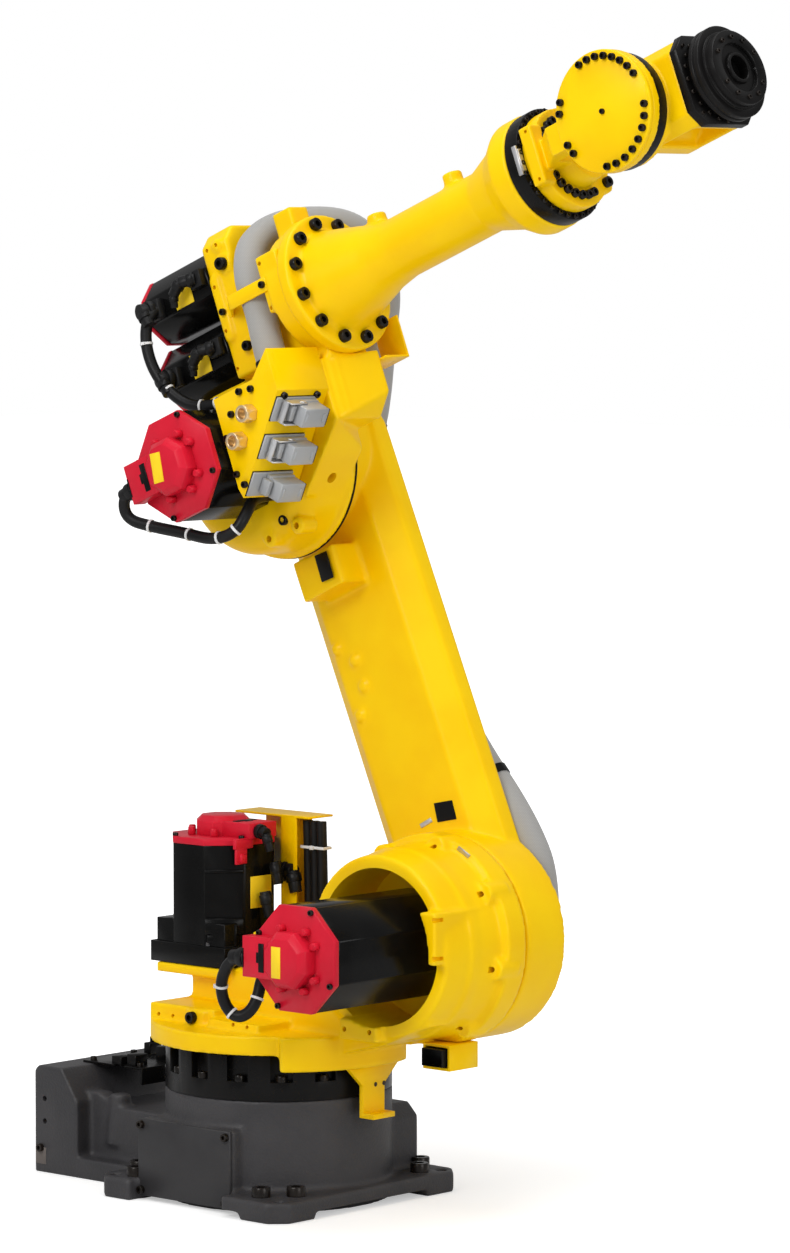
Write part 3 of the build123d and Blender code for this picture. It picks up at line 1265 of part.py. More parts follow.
with BuildPart() as hand_plate:
    with BuildSketch(ahead(WRIST, HAND_PLATE_START)):
        Rectangle(2 * HAND_PLATE_HALF, 2 * HAND_PLATE_HALF)
        chamfer(vertices(), length=HAND_PLATE_EDGE)
    extrude(amount=HAND_PLATE_THICK)
hand_plate.part.label = "hand_plate"
export_step(hand_plate.part, "parts/hand_plate.step")

# Tool flange: disc with a wider rim behind it, a centre bore and a bolt circle
with BuildPart() as tool_flange:
    with BuildSketch(ahead(WRIST, TOOL_START)):
        Circle(TOOL_RADIUS)
    extrude(amount=TOOL_FACE - TOOL_START)
    with BuildSketch(ahead(WRIST, TOOL_RIM_START)):
        Circle(TOOL_RIM_RADIUS)
    extrude(amount=TOOL_RIM_END - TOOL_RIM_START)
    with BuildSketch(ahead(WRIST, TOOL_FACE)):
        Circle(TOOL_BORE)
        with PolarLocations(TOOL_BOLT_CIRCLE, TOOL_BOLTS):
            Circle(TOOL_BOLT_RADIUS)
    extrude(amount=-TOOL_BORE_DEEP, mode=Mode.SUBTRACT)
tool_flange.part.label = "tool_flange"
export_step(tool_flange.part, "parts/tool_flange.step")
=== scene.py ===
# %% [markdown]
# # Six-axis robot arm
# This lesson dresses a CAD robot arm for a studio picture. The CAD nodes are the frame:
# every piece made here rides on one of their bodies, so the arm can still be posed.

import json
import math

import bmesh
import bpy
from mathutils import Matrix, Vector


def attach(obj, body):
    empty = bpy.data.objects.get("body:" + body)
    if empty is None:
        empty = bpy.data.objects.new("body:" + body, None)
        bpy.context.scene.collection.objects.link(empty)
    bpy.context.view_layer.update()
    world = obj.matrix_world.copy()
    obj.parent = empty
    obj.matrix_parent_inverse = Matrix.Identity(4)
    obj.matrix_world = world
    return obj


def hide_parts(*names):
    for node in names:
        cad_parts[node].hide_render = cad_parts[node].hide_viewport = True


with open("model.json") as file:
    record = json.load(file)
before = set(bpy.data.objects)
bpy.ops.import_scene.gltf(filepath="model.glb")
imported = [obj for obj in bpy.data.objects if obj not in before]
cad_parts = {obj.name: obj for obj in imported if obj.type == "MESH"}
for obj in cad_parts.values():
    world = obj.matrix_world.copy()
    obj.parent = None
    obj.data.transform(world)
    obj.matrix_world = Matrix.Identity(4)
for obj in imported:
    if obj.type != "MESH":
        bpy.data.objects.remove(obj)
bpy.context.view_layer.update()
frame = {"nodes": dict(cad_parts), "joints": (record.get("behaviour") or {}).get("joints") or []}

# %% [markdown]
# The camera stands where the photograph was taken: far away with a long lens, so the arm
# looks almost without perspective. Its place was solved from bolt circles and motor corners.
# The matrix columns are right, up and backward, which is how Blender reads a camera.

# %% Camera
IMAGE_HIGH = 1253
SENSOR_HIGH = 36
FOCAL_PIXELS = 5230.449
HEADING = math.radians(132.3228)
PITCH = math.radians(-4.184609)
CAMERA_PLACE = Vector((6.175184, -6.483062, 1.635752))
forward = Vector(
    (math.cos(HEADING) * math.cos(PITCH), math.sin(HEADING) * math.cos(PITCH), math.sin(PITCH))
)
right = Vector((math.sin(HEADING), -math.cos(HEADING), 0))
up = right.cross(forward)
lens = bpy.data.cameras.new("camera")
lens.sensor_fit = "VERTICAL"
lens.sensor_height = SENSOR_HIGH
lens.lens = FOCAL_PIXELS / IMAGE_HIGH * SENSOR_HIGH
camera = bpy.data.objects.new("camera", lens)
camera_turn = Matrix((right, up, -forward)).transposed().to_4x4()
camera.matrix_world = Matrix.Translation(CAMERA_PLACE) @ camera_turn
bpy.context.scene.collection.objects.link(camera)
bpy.context.scene.camera = camera
print("lens", round(lens.lens, 2))

# %% [markdown]
# Each body has a plane of its own, read from the joints in the record: the arm leans, and the
# forearm rises. Sizes are written in millimetres on these planes and turned into metres once.

# %% Planes of the bodies
MM = 0.001
TURRET_FOOT = 0.271
SOCKET_CORNER = (239, 0, 47)
pivot = {j["name"]: Vector(j["pos_m"]) for j in frame["joints"]}
reach = Vector(next(j["axis"] for j in frame["joints"] if j["name"] == "j4_roll"))
rise = Vector((-reach.z, 0, reach.x))


def plane(origin, x_dir=(1, 0, 0), z_dir=(0, 0, 1)):
    """Rigid matrix of a plane from its origin and two of its directions."""
    x = Vector(x_dir).normalized()
    z = Vector(z_dir).normalized()
    return Matrix.Translation(origin) @ Matrix((x, z.cross(x), z)).transposed().to_4x4()


def at(where, x, y, z):
    """Point of a plane, from millimetres."""
    return where @ (Vector((x, y, z)) * MM)


arm_way = (pivot["j3_lift"] - pivot["j2_swing"]).normalized()
GROUND = plane((0, 0, 0))
TURRET = plane((0, 0, TURRET_FOOT))
DRUM = plane(pivot["j2_swing"])
ARM = plane(pivot["j2_swing"], (arm_way.z, 0, -arm_way.x), arm_way)
ELBOW = plane(pivot["j3_lift"], reach, rise)
WRIST = plane(pivot["j5_bend"], reach, rise)
SOCKETS = plane(at(ELBOW, *SOCKET_CORNER), -(reach + rise), reach - rise)
print("arm leans", round(math.degrees(math.asin(-arm_way.x)), 1), "forearm rises",
      round(math.degrees(math.asin(reach.z)), 1))

# %% [markdown]
# A plain pale floor, a white surround and three soft boxes make the studio. The camera sees the
# surround as pure white, while the arm is lit by a dimmer one, so the blacks stay black.

# %% Studio
WHITE = (1, 1, 1, 1)
SURROUND_LIGHT = 0.43
scene = bpy.context.scene
scene.view_settings.view_transform = "Standard"
world = bpy.data.worlds.new("studio")
scene.world = world
world.use_nodes = True
tree = world.node_tree
sky = tree.nodes["Background"]
sky.inputs["Color"].default_value = WHITE
sky.inputs["Strength"].default_value = SURROUND_LIGHT
seen = tree.nodes.new("ShaderNodeBackground")
seen.inputs["Color"].default_value = WHITE
path = tree.nodes.new("ShaderNodeLightPath")
pick = tree.nodes.new("ShaderNodeMixShader")
plain_view = tree.nodes.new("ShaderNodeMath")
plain_view.operation = "MAXIMUM"
tree.links.new(path.outputs["Is Camera Ray"], plain_view.inputs[0])
tree.links.new(path.outputs["Is Transmission Ray"], plain_view.inputs[1])
tree.links.new(plain_view.outputs[0], pick.inputs["Fac"])
tree.links.new(sky.outputs[0], pick.inputs[1])
tree.links.new(seen.outputs[0], pick.inputs[2])
tree.links.new(pick.outputs[0], tree.nodes["World Output"].inputs["Surface"])


def softbox(name, place, aim, size, power):
    """Square area light looking at a point."""
    data = bpy.data.lights.new(name, "AREA")
    data.size = size
    data.energy = power
    lamp = bpy.data.objects.new(name, data)
    turn = (Vector(aim) - Vector(place)).to_track_quat("-Z", "Y").to_matrix().to_4x4()
    lamp.matrix_world = Matrix.Translation(place) @ turn
    scene.collection.objects.link(lamp)


ARM_MIDDLE = (0.2, 0, 1.0)
softbox("key", (0.6, -5.2, 4.2), ARM_MIDDLE, 2.6, 165)
softbox("fill", (5.6, -0.6, 2.6), ARM_MIDDLE, 2.4, 72)
softbox("top", (0.4, -0.4, 5.6), ARM_MIDDLE, 3.2, 95)

# %% [markdown]
# The floor glows a little for the camera alone, more with distance from the arm, so it runs into
# the white surround without an edge and still takes a soft shadow round the base.

# %% Floor
FLOOR_HALF = 30
GLOW_REACH = (0.4, 2.6)
GLOW = (0.44, 0.95)
floor_mesh = bpy.data.meshes.new("floor")
floor_corners = [(x * FLOOR_HALF, y * FLOOR_HALF, 0) for x, y in ((-1, -1), (1, -1), (1, 1), (-1, 1))]
floor_mesh.from_pydata(floor_corners, [], [(0, 1, 2, 3)])
floor = bpy.data.objects.new("floor", floor_mesh)
scene.collection.objects.link(floor)
floor_paint = bpy.data.materials.new("floor")
floor_paint.use_nodes = True
floor_nodes = floor_paint.node_tree.nodes
floor_link = floor_paint.node_tree.links.new
floor_shader = floor_nodes["Principled BSDF"]
floor_shader.inputs["Base Color"].default_value = (0.8, 0.8, 0.8, 1)
floor_shader.inputs["Roughness"].default_value = 0.9
floor_shader.inputs["Specular IOR Level"].default_value = 0.1
floor_shader.inputs["Emission Color"].default_value = WHITE
floor_ray = floor_nodes.new("ShaderNodeLightPath")
floor_place = floor_nodes.new("ShaderNodeTexCoord")
floor_far = floor_nodes.new("ShaderNodeVectorMath")
floor_far.operation = "LENGTH"
floor_glow = floor_nodes.new("ShaderNodeMapRange")
floor_glow.inputs["From Min"].default_value = GLOW_REACH[0]
floor_glow.inputs["From Max"].default_value = GLOW_REACH[1]
floor_glow.inputs["To Min"].default_value = GLOW[0]
floor_glow.inputs["To Max"].default_value = GLOW[1]
floor_seen = floor_nodes.new("ShaderNodeMath")
floor_seen.operation = "MULTIPLY"
floor_link(floor_place.outputs["Object"], floor_far.inputs[0])
floor_link(floor_far.outputs["Value"], floor_glow.inputs["Value"])
floor_link(floor_glow.outputs["Result"], floor_seen.inputs[0])
floor_link(floor_ray.outputs["Is Camera Ray"], floor_seen.inputs[1])
floor_link(floor_seen.outputs[0], floor_shader.inputs["Emission Strength"])
floor_mesh.materials.append(floor_paint)
print("floor", 2 * FLOOR_HALF, "m wide")

# %% [markdown]
# Paint on a casting is never one flat colour. Soft noise mixes two tones and moves the gloss, and
# a fine grain in the bump stands for orange peel or rough cast iron. On the castings, pointiness
# finds the edges and lightens the paint there a little, as a painted highlight along the edges.

# %% Paint and metal materials
BLOTCH = 9
TONE_SHARES = (0.35, 0.62)
GLOSS_SHARES = (0.3, 0.7)
EDGE_SHARES = (0.52, 0.62)
GRAIN_STRENGTH = 0.6
COAT_ROUGH = 0.12


def finish(name, colour, shade, rough, grain, depth, metallic=0.0, coat=0.0, edge=0.0, shine=0.5):
    """Two-tone surface with uneven gloss, a bumpy grain and a painted highlight that lightens its edges."""
    material = bpy.data.materials.new(name)
    material.use_nodes = True
    nodes = material.node_tree.nodes
    link = material.node_tree.links.new
    shader = nodes["Principled BSDF"]
    place = nodes.new("ShaderNodeTexCoord")
    soft = nodes.new("ShaderNodeTexNoise")
    soft.inputs["Scale"].default_value = BLOTCH
    soft.inputs["Detail"].default_value = 5
    tones = nodes.new("ShaderNodeValToRGB")
    for stop, share, tone in zip(tones.color_ramp.elements, TONE_SHARES, (shade, colour)):
        stop.position = share
        stop.color = (*tone, 1)
    fine = nodes.new("ShaderNodeTexNoise")
    fine.inputs["Scale"].default_value = grain
    fine.inputs["Detail"].default_value = 3
    gloss = nodes.new("ShaderNodeMapRange")
    gloss.inputs["From Min"].default_value = GLOSS_SHARES[0]
    gloss.inputs["From Max"].default_value = GLOSS_SHARES[1]
    gloss.inputs["To Min"].default_value = rough[0]
    gloss.inputs["To Max"].default_value = rough[1]
    skin = nodes.new("ShaderNodeBump")
    skin.inputs["Strength"].default_value = GRAIN_STRENGTH
    skin.inputs["Distance"].default_value = depth
    link(place.outputs["Object"], soft.inputs["Vector"])
    link(place.outputs["Object"], fine.inputs["Vector"])
    link(soft.outputs["Fac"], tones.inputs["Fac"])
    link(soft.outputs["Fac"], gloss.inputs["Value"])
    link(gloss.outputs["Result"], shader.inputs["Roughness"])
    link(fine.outputs["Fac"], skin.inputs["Height"])
    link(skin.outputs["Normal"], shader.inputs["Normal"])
    # Painted highlight: pointiness lightens the paint along sharp edges.
    if edge:
        shape = nodes.new("ShaderNodeNewGeometry")
        rim = nodes.new("ShaderNodeMapRange")
        rim.inputs["From Min"].default_value = EDGE_SHARES[0]
        rim.inputs["From Max"].default_value = EDGE_SHARES[1]
        rim.inputs["To Max"].default_value = edge
        painted_edge_highlight = nodes.new("ShaderNodeMix")
        painted_edge_highlight.data_type = "RGBA"
        painted_edge_highlight.inputs["B"].default_value = (*[min(1, c * 1.3 + 0.05) for c in colour], 1)
        link(shape.outputs["Pointiness"], rim.inputs["Value"])
        link(rim.outputs["Result"], painted_edge_highlight.inputs["Factor"])
        link(tones.outputs["Color"], painted_edge_highlight.inputs["A"])
        link(painted_edge_highlight.outputs["Result"], shader.inputs["Base Color"])
    else:
        link(tones.outputs["Color"], shader.inputs["Base Color"])
    shader.inputs["Metallic"].default_value = metallic
    shader.inputs["Specular IOR Level"].default_value = shine
    shader.inputs["Coat Weight"].default_value = coat
    shader.inputs["Coat Roughness"].default_value = COAT_ROUGH
    return material


YELLOW = finish("yellow_casting", (1.0, 0.64, 0.0), (0.97, 0.585, 0.0), (0.28, 0.42), 420, 0.00018,
                coat=0.06, edge=0.3, shine=0.12)
SHEET = finish("yellow_sheet", (1.0, 0.64, 0.0), (0.97, 0.59, 0.0), (0.26, 0.36), 600, 0.0001,
               coat=0.06, shine=0.12)
IRON = finish("grey_casting", (0.048, 0.046, 0.049), (0.034, 0.033, 0.036), (0.42, 0.58), 230, 0.0014,
              edge=0.3, shine=0.35)
GREY = finish("grey_paint", (0.036, 0.035, 0.037), (0.028, 0.027, 0.029), (0.4, 0.52), 380, 0.0003,
              shine=0.3)
BLACK = finish("black_steel", (0.006, 0.0055, 0.0055), (0.003, 0.003, 0.003), (0.22, 0.38), 500, 0.0002,
               shine=0.14)
MOTOR = finish("motor_black", (0.005, 0.005, 0.005), (0.0025, 0.0025, 0.0025), (0.14, 0.26), 650, 0.00014,
               shine=0.12)
RED = finish("motor_red", (0.66, 0.011, 0.034), (0.56, 0.008, 0.026), (0.3, 0.42), 700, 0.00012,
             shine=0.18)
RUBBER = finish("cable_black", (0.010, 0.010, 0.0105), (0.005, 0.005, 0.0055), (0.34, 0.5), 800, 0.0002,
                shine=0.2)
CAST_GREY = finish("connector_grey", (0.41, 0.42, 0.43), (0.34, 0.35, 0.36), (0.34, 0.48), 600, 0.0002,
                   metallic=0.2)
BRASS = finish("brass_fitting", (0.85, 0.66, 0.40), (0.74, 0.54, 0.30), (0.22, 0.36), 900, 0.0001,
               metallic=0.85)
BOLT = finish("bolt_black", (0.016, 0.011, 0.008), (0.006, 0.005, 0.004), (0.2, 0.36), 900, 0.0001,
              metallic=0.4, shine=0.4)
BORE = finish("bore_dark", (0.05, 0.03, 0.006), (0.014, 0.009, 0.004), (0.4, 0.6), 700, 0.0002,
              metallic=0.3)
STEEL = finish("bare_steel", (0.62, 0.62, 0.63), (0.46, 0.46, 0.47), (0.25, 0.42), 800, 0.0001,
               metallic=0.8)
TIE = finish("tie_white", (0.78, 0.78, 0.78), (0.66, 0.66, 0.66), (0.4, 0.5), 700, 0.0001)
PLATE = finish("plate_yellow", (0.98, 0.70, 0.02), (0.90, 0.60, 0.01), (0.35, 0.45), 600, 0.00008,
               shine=0.25)
PRIMER = finish("bare_primer", (0.14, 0.12, 0.11), (0.10, 0.09, 0.085), (0.45, 0.6), 500, 0.0002,
                shine=0.25)
print("materials", len(bpy.data.materials))

# %% [markdown]
# The cable sleeve is woven from grey yarn. Two bands of stripes that cross at an angle make the
# weave, and they drive both the tone and the bump, so the cloth catches light as yarn does.


# %% Woven sleeve material
def woven(name, colour, shade, pitch):
    """Cloth with crossing yarns."""
    material = bpy.data.materials.new(name)
    material.use_nodes = True
    nodes = material.node_tree.nodes
    link = material.node_tree.links.new
    shader = nodes["Principled BSDF"]
    place = nodes.new("ShaderNodeTexCoord")
    cross = nodes.new("ShaderNodeMath")
    cross.operation = "MULTIPLY"
    for slot, way in enumerate(("DIAGONAL", "Z")):
        yarn = nodes.new("ShaderNodeTexWave")
        yarn.bands_direction = way
        yarn.inputs["Scale"].default_value = pitch
        yarn.inputs["Distortion"].default_value = 0.6
        yarn.inputs["Detail"].default_value = 1
        link(place.outputs["Object"], yarn.inputs["Vector"])
        link(yarn.outputs["Fac"], cross.inputs[slot])
    tones = nodes.new("ShaderNodeValToRGB")
    for stop, tone in zip(tones.color_ramp.elements, (shade, colour)):
        stop.color = (*tone, 1)
    skin = nodes.new("ShaderNodeBump")
    skin.inputs["Strength"].default_value = 0.5
    skin.inputs["Distance"].default_value = 0.0005
    link(cross.outputs[0], tones.inputs["Fac"])
    link(tones.outputs["Color"], shader.inputs["Base Color"])
    link(cross.outputs[0], skin.inputs["Height"])
    link(skin.outputs["Normal"], shader.inputs["Normal"])
    shader.inputs["Roughness"].default_value = 0.85
    shader.inputs["Sheen Weight"].default_value = 0.3
    return material


SLEEVE = woven("sleeve_grey", (0.42, 0.415, 0.40), (0.32, 0.315, 0.305), 150)
print("sleeve weave ready")

# %% [markdown]
# Cables first. Each one keeps the route that the CAD tube has, but its line is a smooth NURBS
# spline with the route's points as control points, as a real lead bends.


# %% Cables and sleeves
def smooth_line(data, spots):
    """NURBS line in a curve, with the spots as its control points."""
    line = data.splines.new("NURBS")
    line.points.add(len(spots) - 1)
    for point, spot in zip(line.points, spots):
        point.co = (*spot, 1)
    line.order_u = 3
    line.use_endpoint_u = True


def lead(name, where, routes, radius, material, body, slot, node):
    """Round cable on one or more smooth splines, standing for a CAD tube."""
    data = bpy.data.curves.new(name, "CURVE")
    data.dimensions = "3D"
    data.resolution_u = 10
    data.bevel_depth = radius * MM
    data.bevel_resolution = 5
    data.use_fill_caps = True
    for route in routes:
        smooth_line(data, [at(where, *spot) for spot in route])
    data.materials.append(material)
    piece = bpy.data.objects.new(name, data)
    scene.collection.objects.link(piece)
    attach(piece, body)
    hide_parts(node)


LEAD_RADIUS = 10
UPRIGHT_RADIUS = 9
SLEEVE_RADIUS = 27
ARM_SIDE = 186
SLEEVE_SEAT = 0.3
SLEEVE_FLAT = math.radians(18)
ARM_Y = ARM_SIDE + SLEEVE_RADIUS * math.cos(SLEEVE_FLAT) + SLEEVE_SEAT
LOOP = [(-95.3, -310, -4), (-128, -310, -4), (-164, -304, -46), (-166, -296, -88), (-142, -286, -116),
        (-114, -270, -92), (-118, -250, -32), (-87.3, -250, -32)]
LEADS = [[(x - 6, 72, 370), (x, 72, 200), (x, 72, 33.3)] for x in (8, 24, 40)]
ARM_SLEEVE = [(60, ARM_Y, -100), (132, ARM_Y, 30), (126, ARM_Y, 150), (62, ARM_Y, 330), (24, ARM_Y, 560),
              (0, ARM_Y, 740)]
ELBOW_SLEEVE = [(36, 218, 0), (84, 218, 62), (136, 218, 160), (196, 218, 262), (236, 136, 346),
                (180, 40, 374), (153, -44, 350), (151, -79.7, 286), (158, -79.7, 222), (160, -90, 150),
                (160, -90, 84.3)]
SENSOR = [(-95.3, -230, -6), (-126, -230, -6), (-142, -222, -44), (-98, -208, -74), (-40, -198, -106),
          (14, -194, -138), (62, -188, -142), (82, -168, -114), (68, -124, -80), (68, -60.3, -80)]
PAIR = [(-66, -76.3, 306), (-66, -106, 306), (-92, -112, 258), (-88, -112, 190), (-50, -104, 126),
        (-4, -92, 106), (46, -88, 102), (68, -88, 70), (92.7, -88, 70)]
CABLES = (
    ("lead_j2_loop", DRUM, [LOOP], LEAD_RADIUS, RUBBER, "turret", "cable_black", "j2_motor_cable"),
    ("leads_upright", TURRET, LEADS, UPRIGHT_RADIUS, RUBBER, "turret", "cable_black", "turret_cable"),
    ("sleeve_lower_arm", ARM, [ARM_SLEEVE], SLEEVE_RADIUS, SLEEVE, "lower_arm", "sleeve_grey", "arm_sleeve"),
    ("sleeve_elbow", ELBOW, [ELBOW_SLEEVE], SLEEVE_RADIUS, SLEEVE, "elbow", "sleeve_grey", "elbow_sleeve"),
    ("lead_j3", ELBOW, [SENSOR], LEAD_RADIUS, RUBBER, "elbow", "cable_black", "j3_motor_cable"),
    ("lead_j4", ELBOW, [PAIR], LEAD_RADIUS, RUBBER, "elbow", "cable_black", "j4_motor_cable"),
)
for cable in CABLES:
    lead(*cable)
print("cables", len(CABLES))

# %% [markdown]
# White cable ties hold the leads together, and black clamps grip the sleeves. Each band sits
# square to its lead, so its place and its direction are read from the lead's own smooth line.

# %% Cable ties
BAND_SIDES = 24
BAND_LIP = 0.2
LOCK_DEEP, LOCK_WIDE, LOCK_SPARE = 4, 6, 0.6
CLAMP_HALF = 8


def around(sides):
    """Evenly spaced angles of a full turn."""
    return [2 * math.pi * k / sides for k in range(sides)]


def walls(mesh, rings, closed=False):
    """Faces between neighbouring rings of points; a closed set joins the last ring to the first."""
    faces = []
    for low, high in zip(rings, rings[1:] + rings[:1] if closed else rings[1:]):
        for k in range(len(low)):
            n = (k + 1) % len(low)
            faces.append(mesh.faces.new((low[k], low[n], high[n], high[k])))
    return faces


def ties(name, where, route, shares, radius, body, half=2.2, thick=1.4, material=TIE):
    """Thin bands with a small lock, square to a lead at shares of its length."""
    data = bpy.data.curves.new(name + ".line", "CURVE")
    data.dimensions = "3D"
    data.resolution_u = 12
    smooth_line(data, route)
    guide = bpy.data.objects.new(name + ".line", data)
    scene.collection.objects.link(guide)
    points = [v.co.copy() for v in bpy.data.meshes.new_from_object(guide).vertices]
    bpy.data.objects.remove(guide)
    inner, outer = radius - BAND_LIP, radius + thick
    section = ((inner, -half), (outer, BAND_LIP - half), (outer, half - BAND_LIP), (inner, half))
    lock_size = Matrix.Diagonal((LOCK_DEEP, LOCK_WIDE, 2 * half + LOCK_SPARE, 1))
    lock = Matrix.Translation((outer, 0, 0)) @ lock_size
    mesh = bmesh.new()
    for share in shares:
        k = min(len(points) - 2, max(1, round(share * (len(points) - 1))))
        way = (points[k + 1] - points[k - 1]).normalized()
        turn = Matrix.Translation(points[k]) @ way.to_track_quat("Z", "Y").to_matrix().to_4x4()
        rings = []
        for r, z in section:
            ring = [Vector((r * math.cos(t), r * math.sin(t), z)) for t in around(BAND_SIDES)]
            rings.append([mesh.verts.new(turn @ point) for point in ring])
        walls(mesh, rings, closed=True)
        bmesh.ops.create_cube(mesh, size=1, matrix=turn @ lock)
    bmesh.ops.recalc_face_normals(mesh, faces=mesh.faces)
    made = bpy.data.meshes.new(name)
    mesh.to_mesh(made)
    mesh.free()
    made.transform(where @ Matrix.Scale(MM, 4))
    made.materials.append(material)
    piece = bpy.data.objects.new(name, made)
    scene.collection.objects.link(piece)
    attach(piece, body)
    print(name, len(shares))


ties("ties_j2_loop", DRUM, LOOP, (0.30, 0.52, 0.78), LEAD_RADIUS, "turret")
ties("ties_j3_lead", ELBOW, SENSOR, (0.30, 0.46, 0.60, 0.70), LEAD_RADIUS, "elbow")
ties("ties_small_leads", ELBOW, PAIR, (0.22, 0.42, 0.60, 0.70), LEAD_RADIUS, "elbow")
ties("clamps_arm_sleeve", ARM, ARM_SLEEVE, (0.04, 0.5, 0.96), SLEEVE_RADIUS, "lower_arm",
     CLAMP_HALF, 2.2, BLACK)
ties("clamps_elbow_sleeve", ELBOW, ELBOW_SLEEVE, (0.03, 0.97), SLEEVE_RADIUS, "elbow",
     CLAMP_HALF, 1.6, BLACK)

# %% [markdown]
# Castings have no sharp edges: iron is poured into sand, so every corner is rounded and every
# boss runs into the wall with a fillet. Instead of filleting edge by edge, the CAD copy and its
# extra bosses are voxel-remeshed together on the body's own plane and relaxed a little. Holes are
# cut afterwards with a boolean, so their rims stay as sharp as a drill leaves them.

# %% Drawing helpers
WELD = 0.00002


def box(mesh, x, y, z):
    """Box between limits, in millimetres on the plane."""
    size = Matrix.Diagonal((x[1] - x[0], y[1] - y[0], z[1] - z[0], 1))
    middle = Matrix.Translation(((x[0] + x[1]) / 2, (y[0] + y[1]) / 2, (z[0] + z[1]) / 2))
    bmesh.ops.create_cube(mesh, size=1, matrix=middle @ size)


def boxes(mesh, *limits):
    """Several boxes, each as its limits in x, y and z."""
    for x, y, z in limits:
        box(mesh, x, y, z)


def rod(mesh, start, end, radius, top=None, sides=40):
    """Round rod or cone between two points, in millimetres on the plane."""
    a, b = Vector(start), Vector(end)
    turn = (b - a).to_track_quat("Z", "Y").to_matrix().to_4x4()
    bmesh.ops.create_cone(
        mesh, cap_ends=True, segments=sides, radius1=radius, radius2=radius if top is None else top,
        depth=(b - a).length, matrix=Matrix.Translation((a + b) / 2) @ turn,
    )


def prism(mesh, outline, low, high):
    """Upright slab: an outline of (x, z) points between two y planes."""
    back = [mesh.verts.new((x, high, z)) for x, z in outline]
    front = [mesh.verts.new((x, low, z)) for x, z in outline]
    faces = [mesh.faces.new(back), mesh.faces.new(list(reversed(front)))]
    for k in range(len(outline)):
        n = (k + 1) % len(outline)
        faces.append(mesh.faces.new((back[k], front[k], front[n], back[n])))
    bmesh.ops.recalc_face_normals(mesh, faces=faces)


def drawn(name, build):
    """Mesh in metres from a function that draws in millimetres."""
    mesh = bmesh.new()
    build(mesh)
    bmesh.ops.scale(mesh, vec=(MM, MM, MM), verts=mesh.verts)
    data = bpy.data.meshes.new(name)
    mesh.to_mesh(data)
    mesh.free()
    return data


def welded(node, where):
    """Copy of a CAD node's mesh on a plane, with its seams joined."""
    mesh = bmesh.new()
    mesh.from_mesh(frame["nodes"][node].data)
    bmesh.ops.remove_doubles(mesh, verts=mesh.verts, dist=WELD)
    bmesh.ops.transform(mesh, matrix=where.inverted(), verts=mesh.verts)
    return mesh


print("drawing helpers ready")

# %% [markdown]
# A piece is worked on as a plain object with modifiers, and only its finished mesh is kept. Castings
# are fused and drilled; machined, moulded and small parts get a rounded bevel on every edge, because
# a real edge is never quite sharp and shows as a thin line of light.

# %% Finishing helpers
CAST_CREASE = 50
CREASE = 35
MILLED_EDGE = 25
FLAT = 0.6


def bench(name, data):
    """Working object that carries modifiers until its mesh is taken."""
    maker = bpy.data.objects.new(name + ".maker", data)
    scene.collection.objects.link(maker)
    return maker


def plain(obj):
    """Mesh of an object with its modifiers applied."""
    graph = bpy.context.evaluated_depsgraph_get()
    return bpy.data.meshes.new_from_object(
        obj.evaluated_get(graph), preserve_all_data_layers=True, depsgraph=graph
    )


def soften(maker, width, segments, angle):
    """Rounded bevel on every edge that is sharper than an angle."""
    edges = maker.modifiers.new("edges", "BEVEL")
    edges.width = width * MM
    edges.segments = segments
    edges.limit_method = "ANGLE"
    edges.angle_limit = math.radians(angle)
    edges.harden_normals = True


def show(name, mesh, materials, body, nodes=(), angle=CREASE):
    """Finished piece from a mesh: materials, smooth faces with sharp creases, and its body."""
    mesh.materials.clear()
    for material in materials:
        mesh.materials.append(material)
    mesh.shade_smooth()
    mesh.set_sharp_from_angle(angle=math.radians(angle))
    piece = bpy.data.objects.new(name, mesh)
    scene.collection.objects.link(piece)
    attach(piece, body)
    if nodes:
        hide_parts(*nodes)


def cast(name, node, where, body, material, voxel, rounds, bosses=None, holes=None):
    """Casting: CAD copy and bosses fused with fillets, then drilled."""
    mesh = welded(node, where)
    if bosses:
        mesh.from_mesh(drawn("extra", bosses))
    raw = bpy.data.meshes.new(name)
    mesh.to_mesh(raw)
    mesh.free()
    raw.materials.clear()
    raw.materials.append(material)
    maker = bench(name, raw)
    fuse = maker.modifiers.new("fuse", "REMESH")
    fuse.mode = "VOXEL"
    fuse.voxel_size = voxel * MM
    relax = maker.modifiers.new("relax", "SMOOTH")
    relax.factor = 0.5
    relax.iterations = rounds
    if holes:
        drill_mesh = drawn("drill", holes)
        drill_mesh.materials.append(BORE)
        drill = bpy.data.objects.new(name + ".drill", drill_mesh)
        scene.collection.objects.link(drill)
        bore = maker.modifiers.new("bore", "BOOLEAN")
        bore.operation = "DIFFERENCE"
        bore.solver = "MANIFOLD"
        bore.material_mode = "TRANSFER"
        bore.object = drill
    mesh = plain(maker)
    mesh.transform(where)
    bpy.data.objects.remove(maker)
    if holes:
        bpy.data.objects.remove(drill)
    print(name, "faces", len(mesh.polygons))
    show(name, mesh, [material, BORE], body, (node,), CAST_CREASE)


def milled(name, nodes, body, material, width, segments=3):
    """Machined or moulded parts: CAD copies with a small rounded bevel on every edge."""
    for node in nodes:
        mesh = welded(node, GROUND)
        bmesh.ops.dissolve_limit(mesh, angle_limit=math.radians(FLAT), verts=mesh.verts, edges=mesh.edges)
        raw = bpy.data.meshes.new(node)
        mesh.to_mesh(raw)
        mesh.free()
        maker = bench(node, raw)
        soften(maker, width, segments, MILLED_EDGE)
        show(name + "_" + node, plain(maker), [material], body, (node,))
        bpy.data.objects.remove(maker)


def fitted(name, where, body, slot, material, build, bevel, segments=2, nodes=()):
    """Small fitting: shapes in millimetres on a plane, with every edge softened."""
    maker = bench(name, drawn(name, build))
    soften(maker, bevel, segments, CREASE)
    made = plain(maker)
    bpy.data.objects.remove(maker)
    made.transform(where)
    show(name, made, [material], body, nodes)


print("finishing helpers ready")

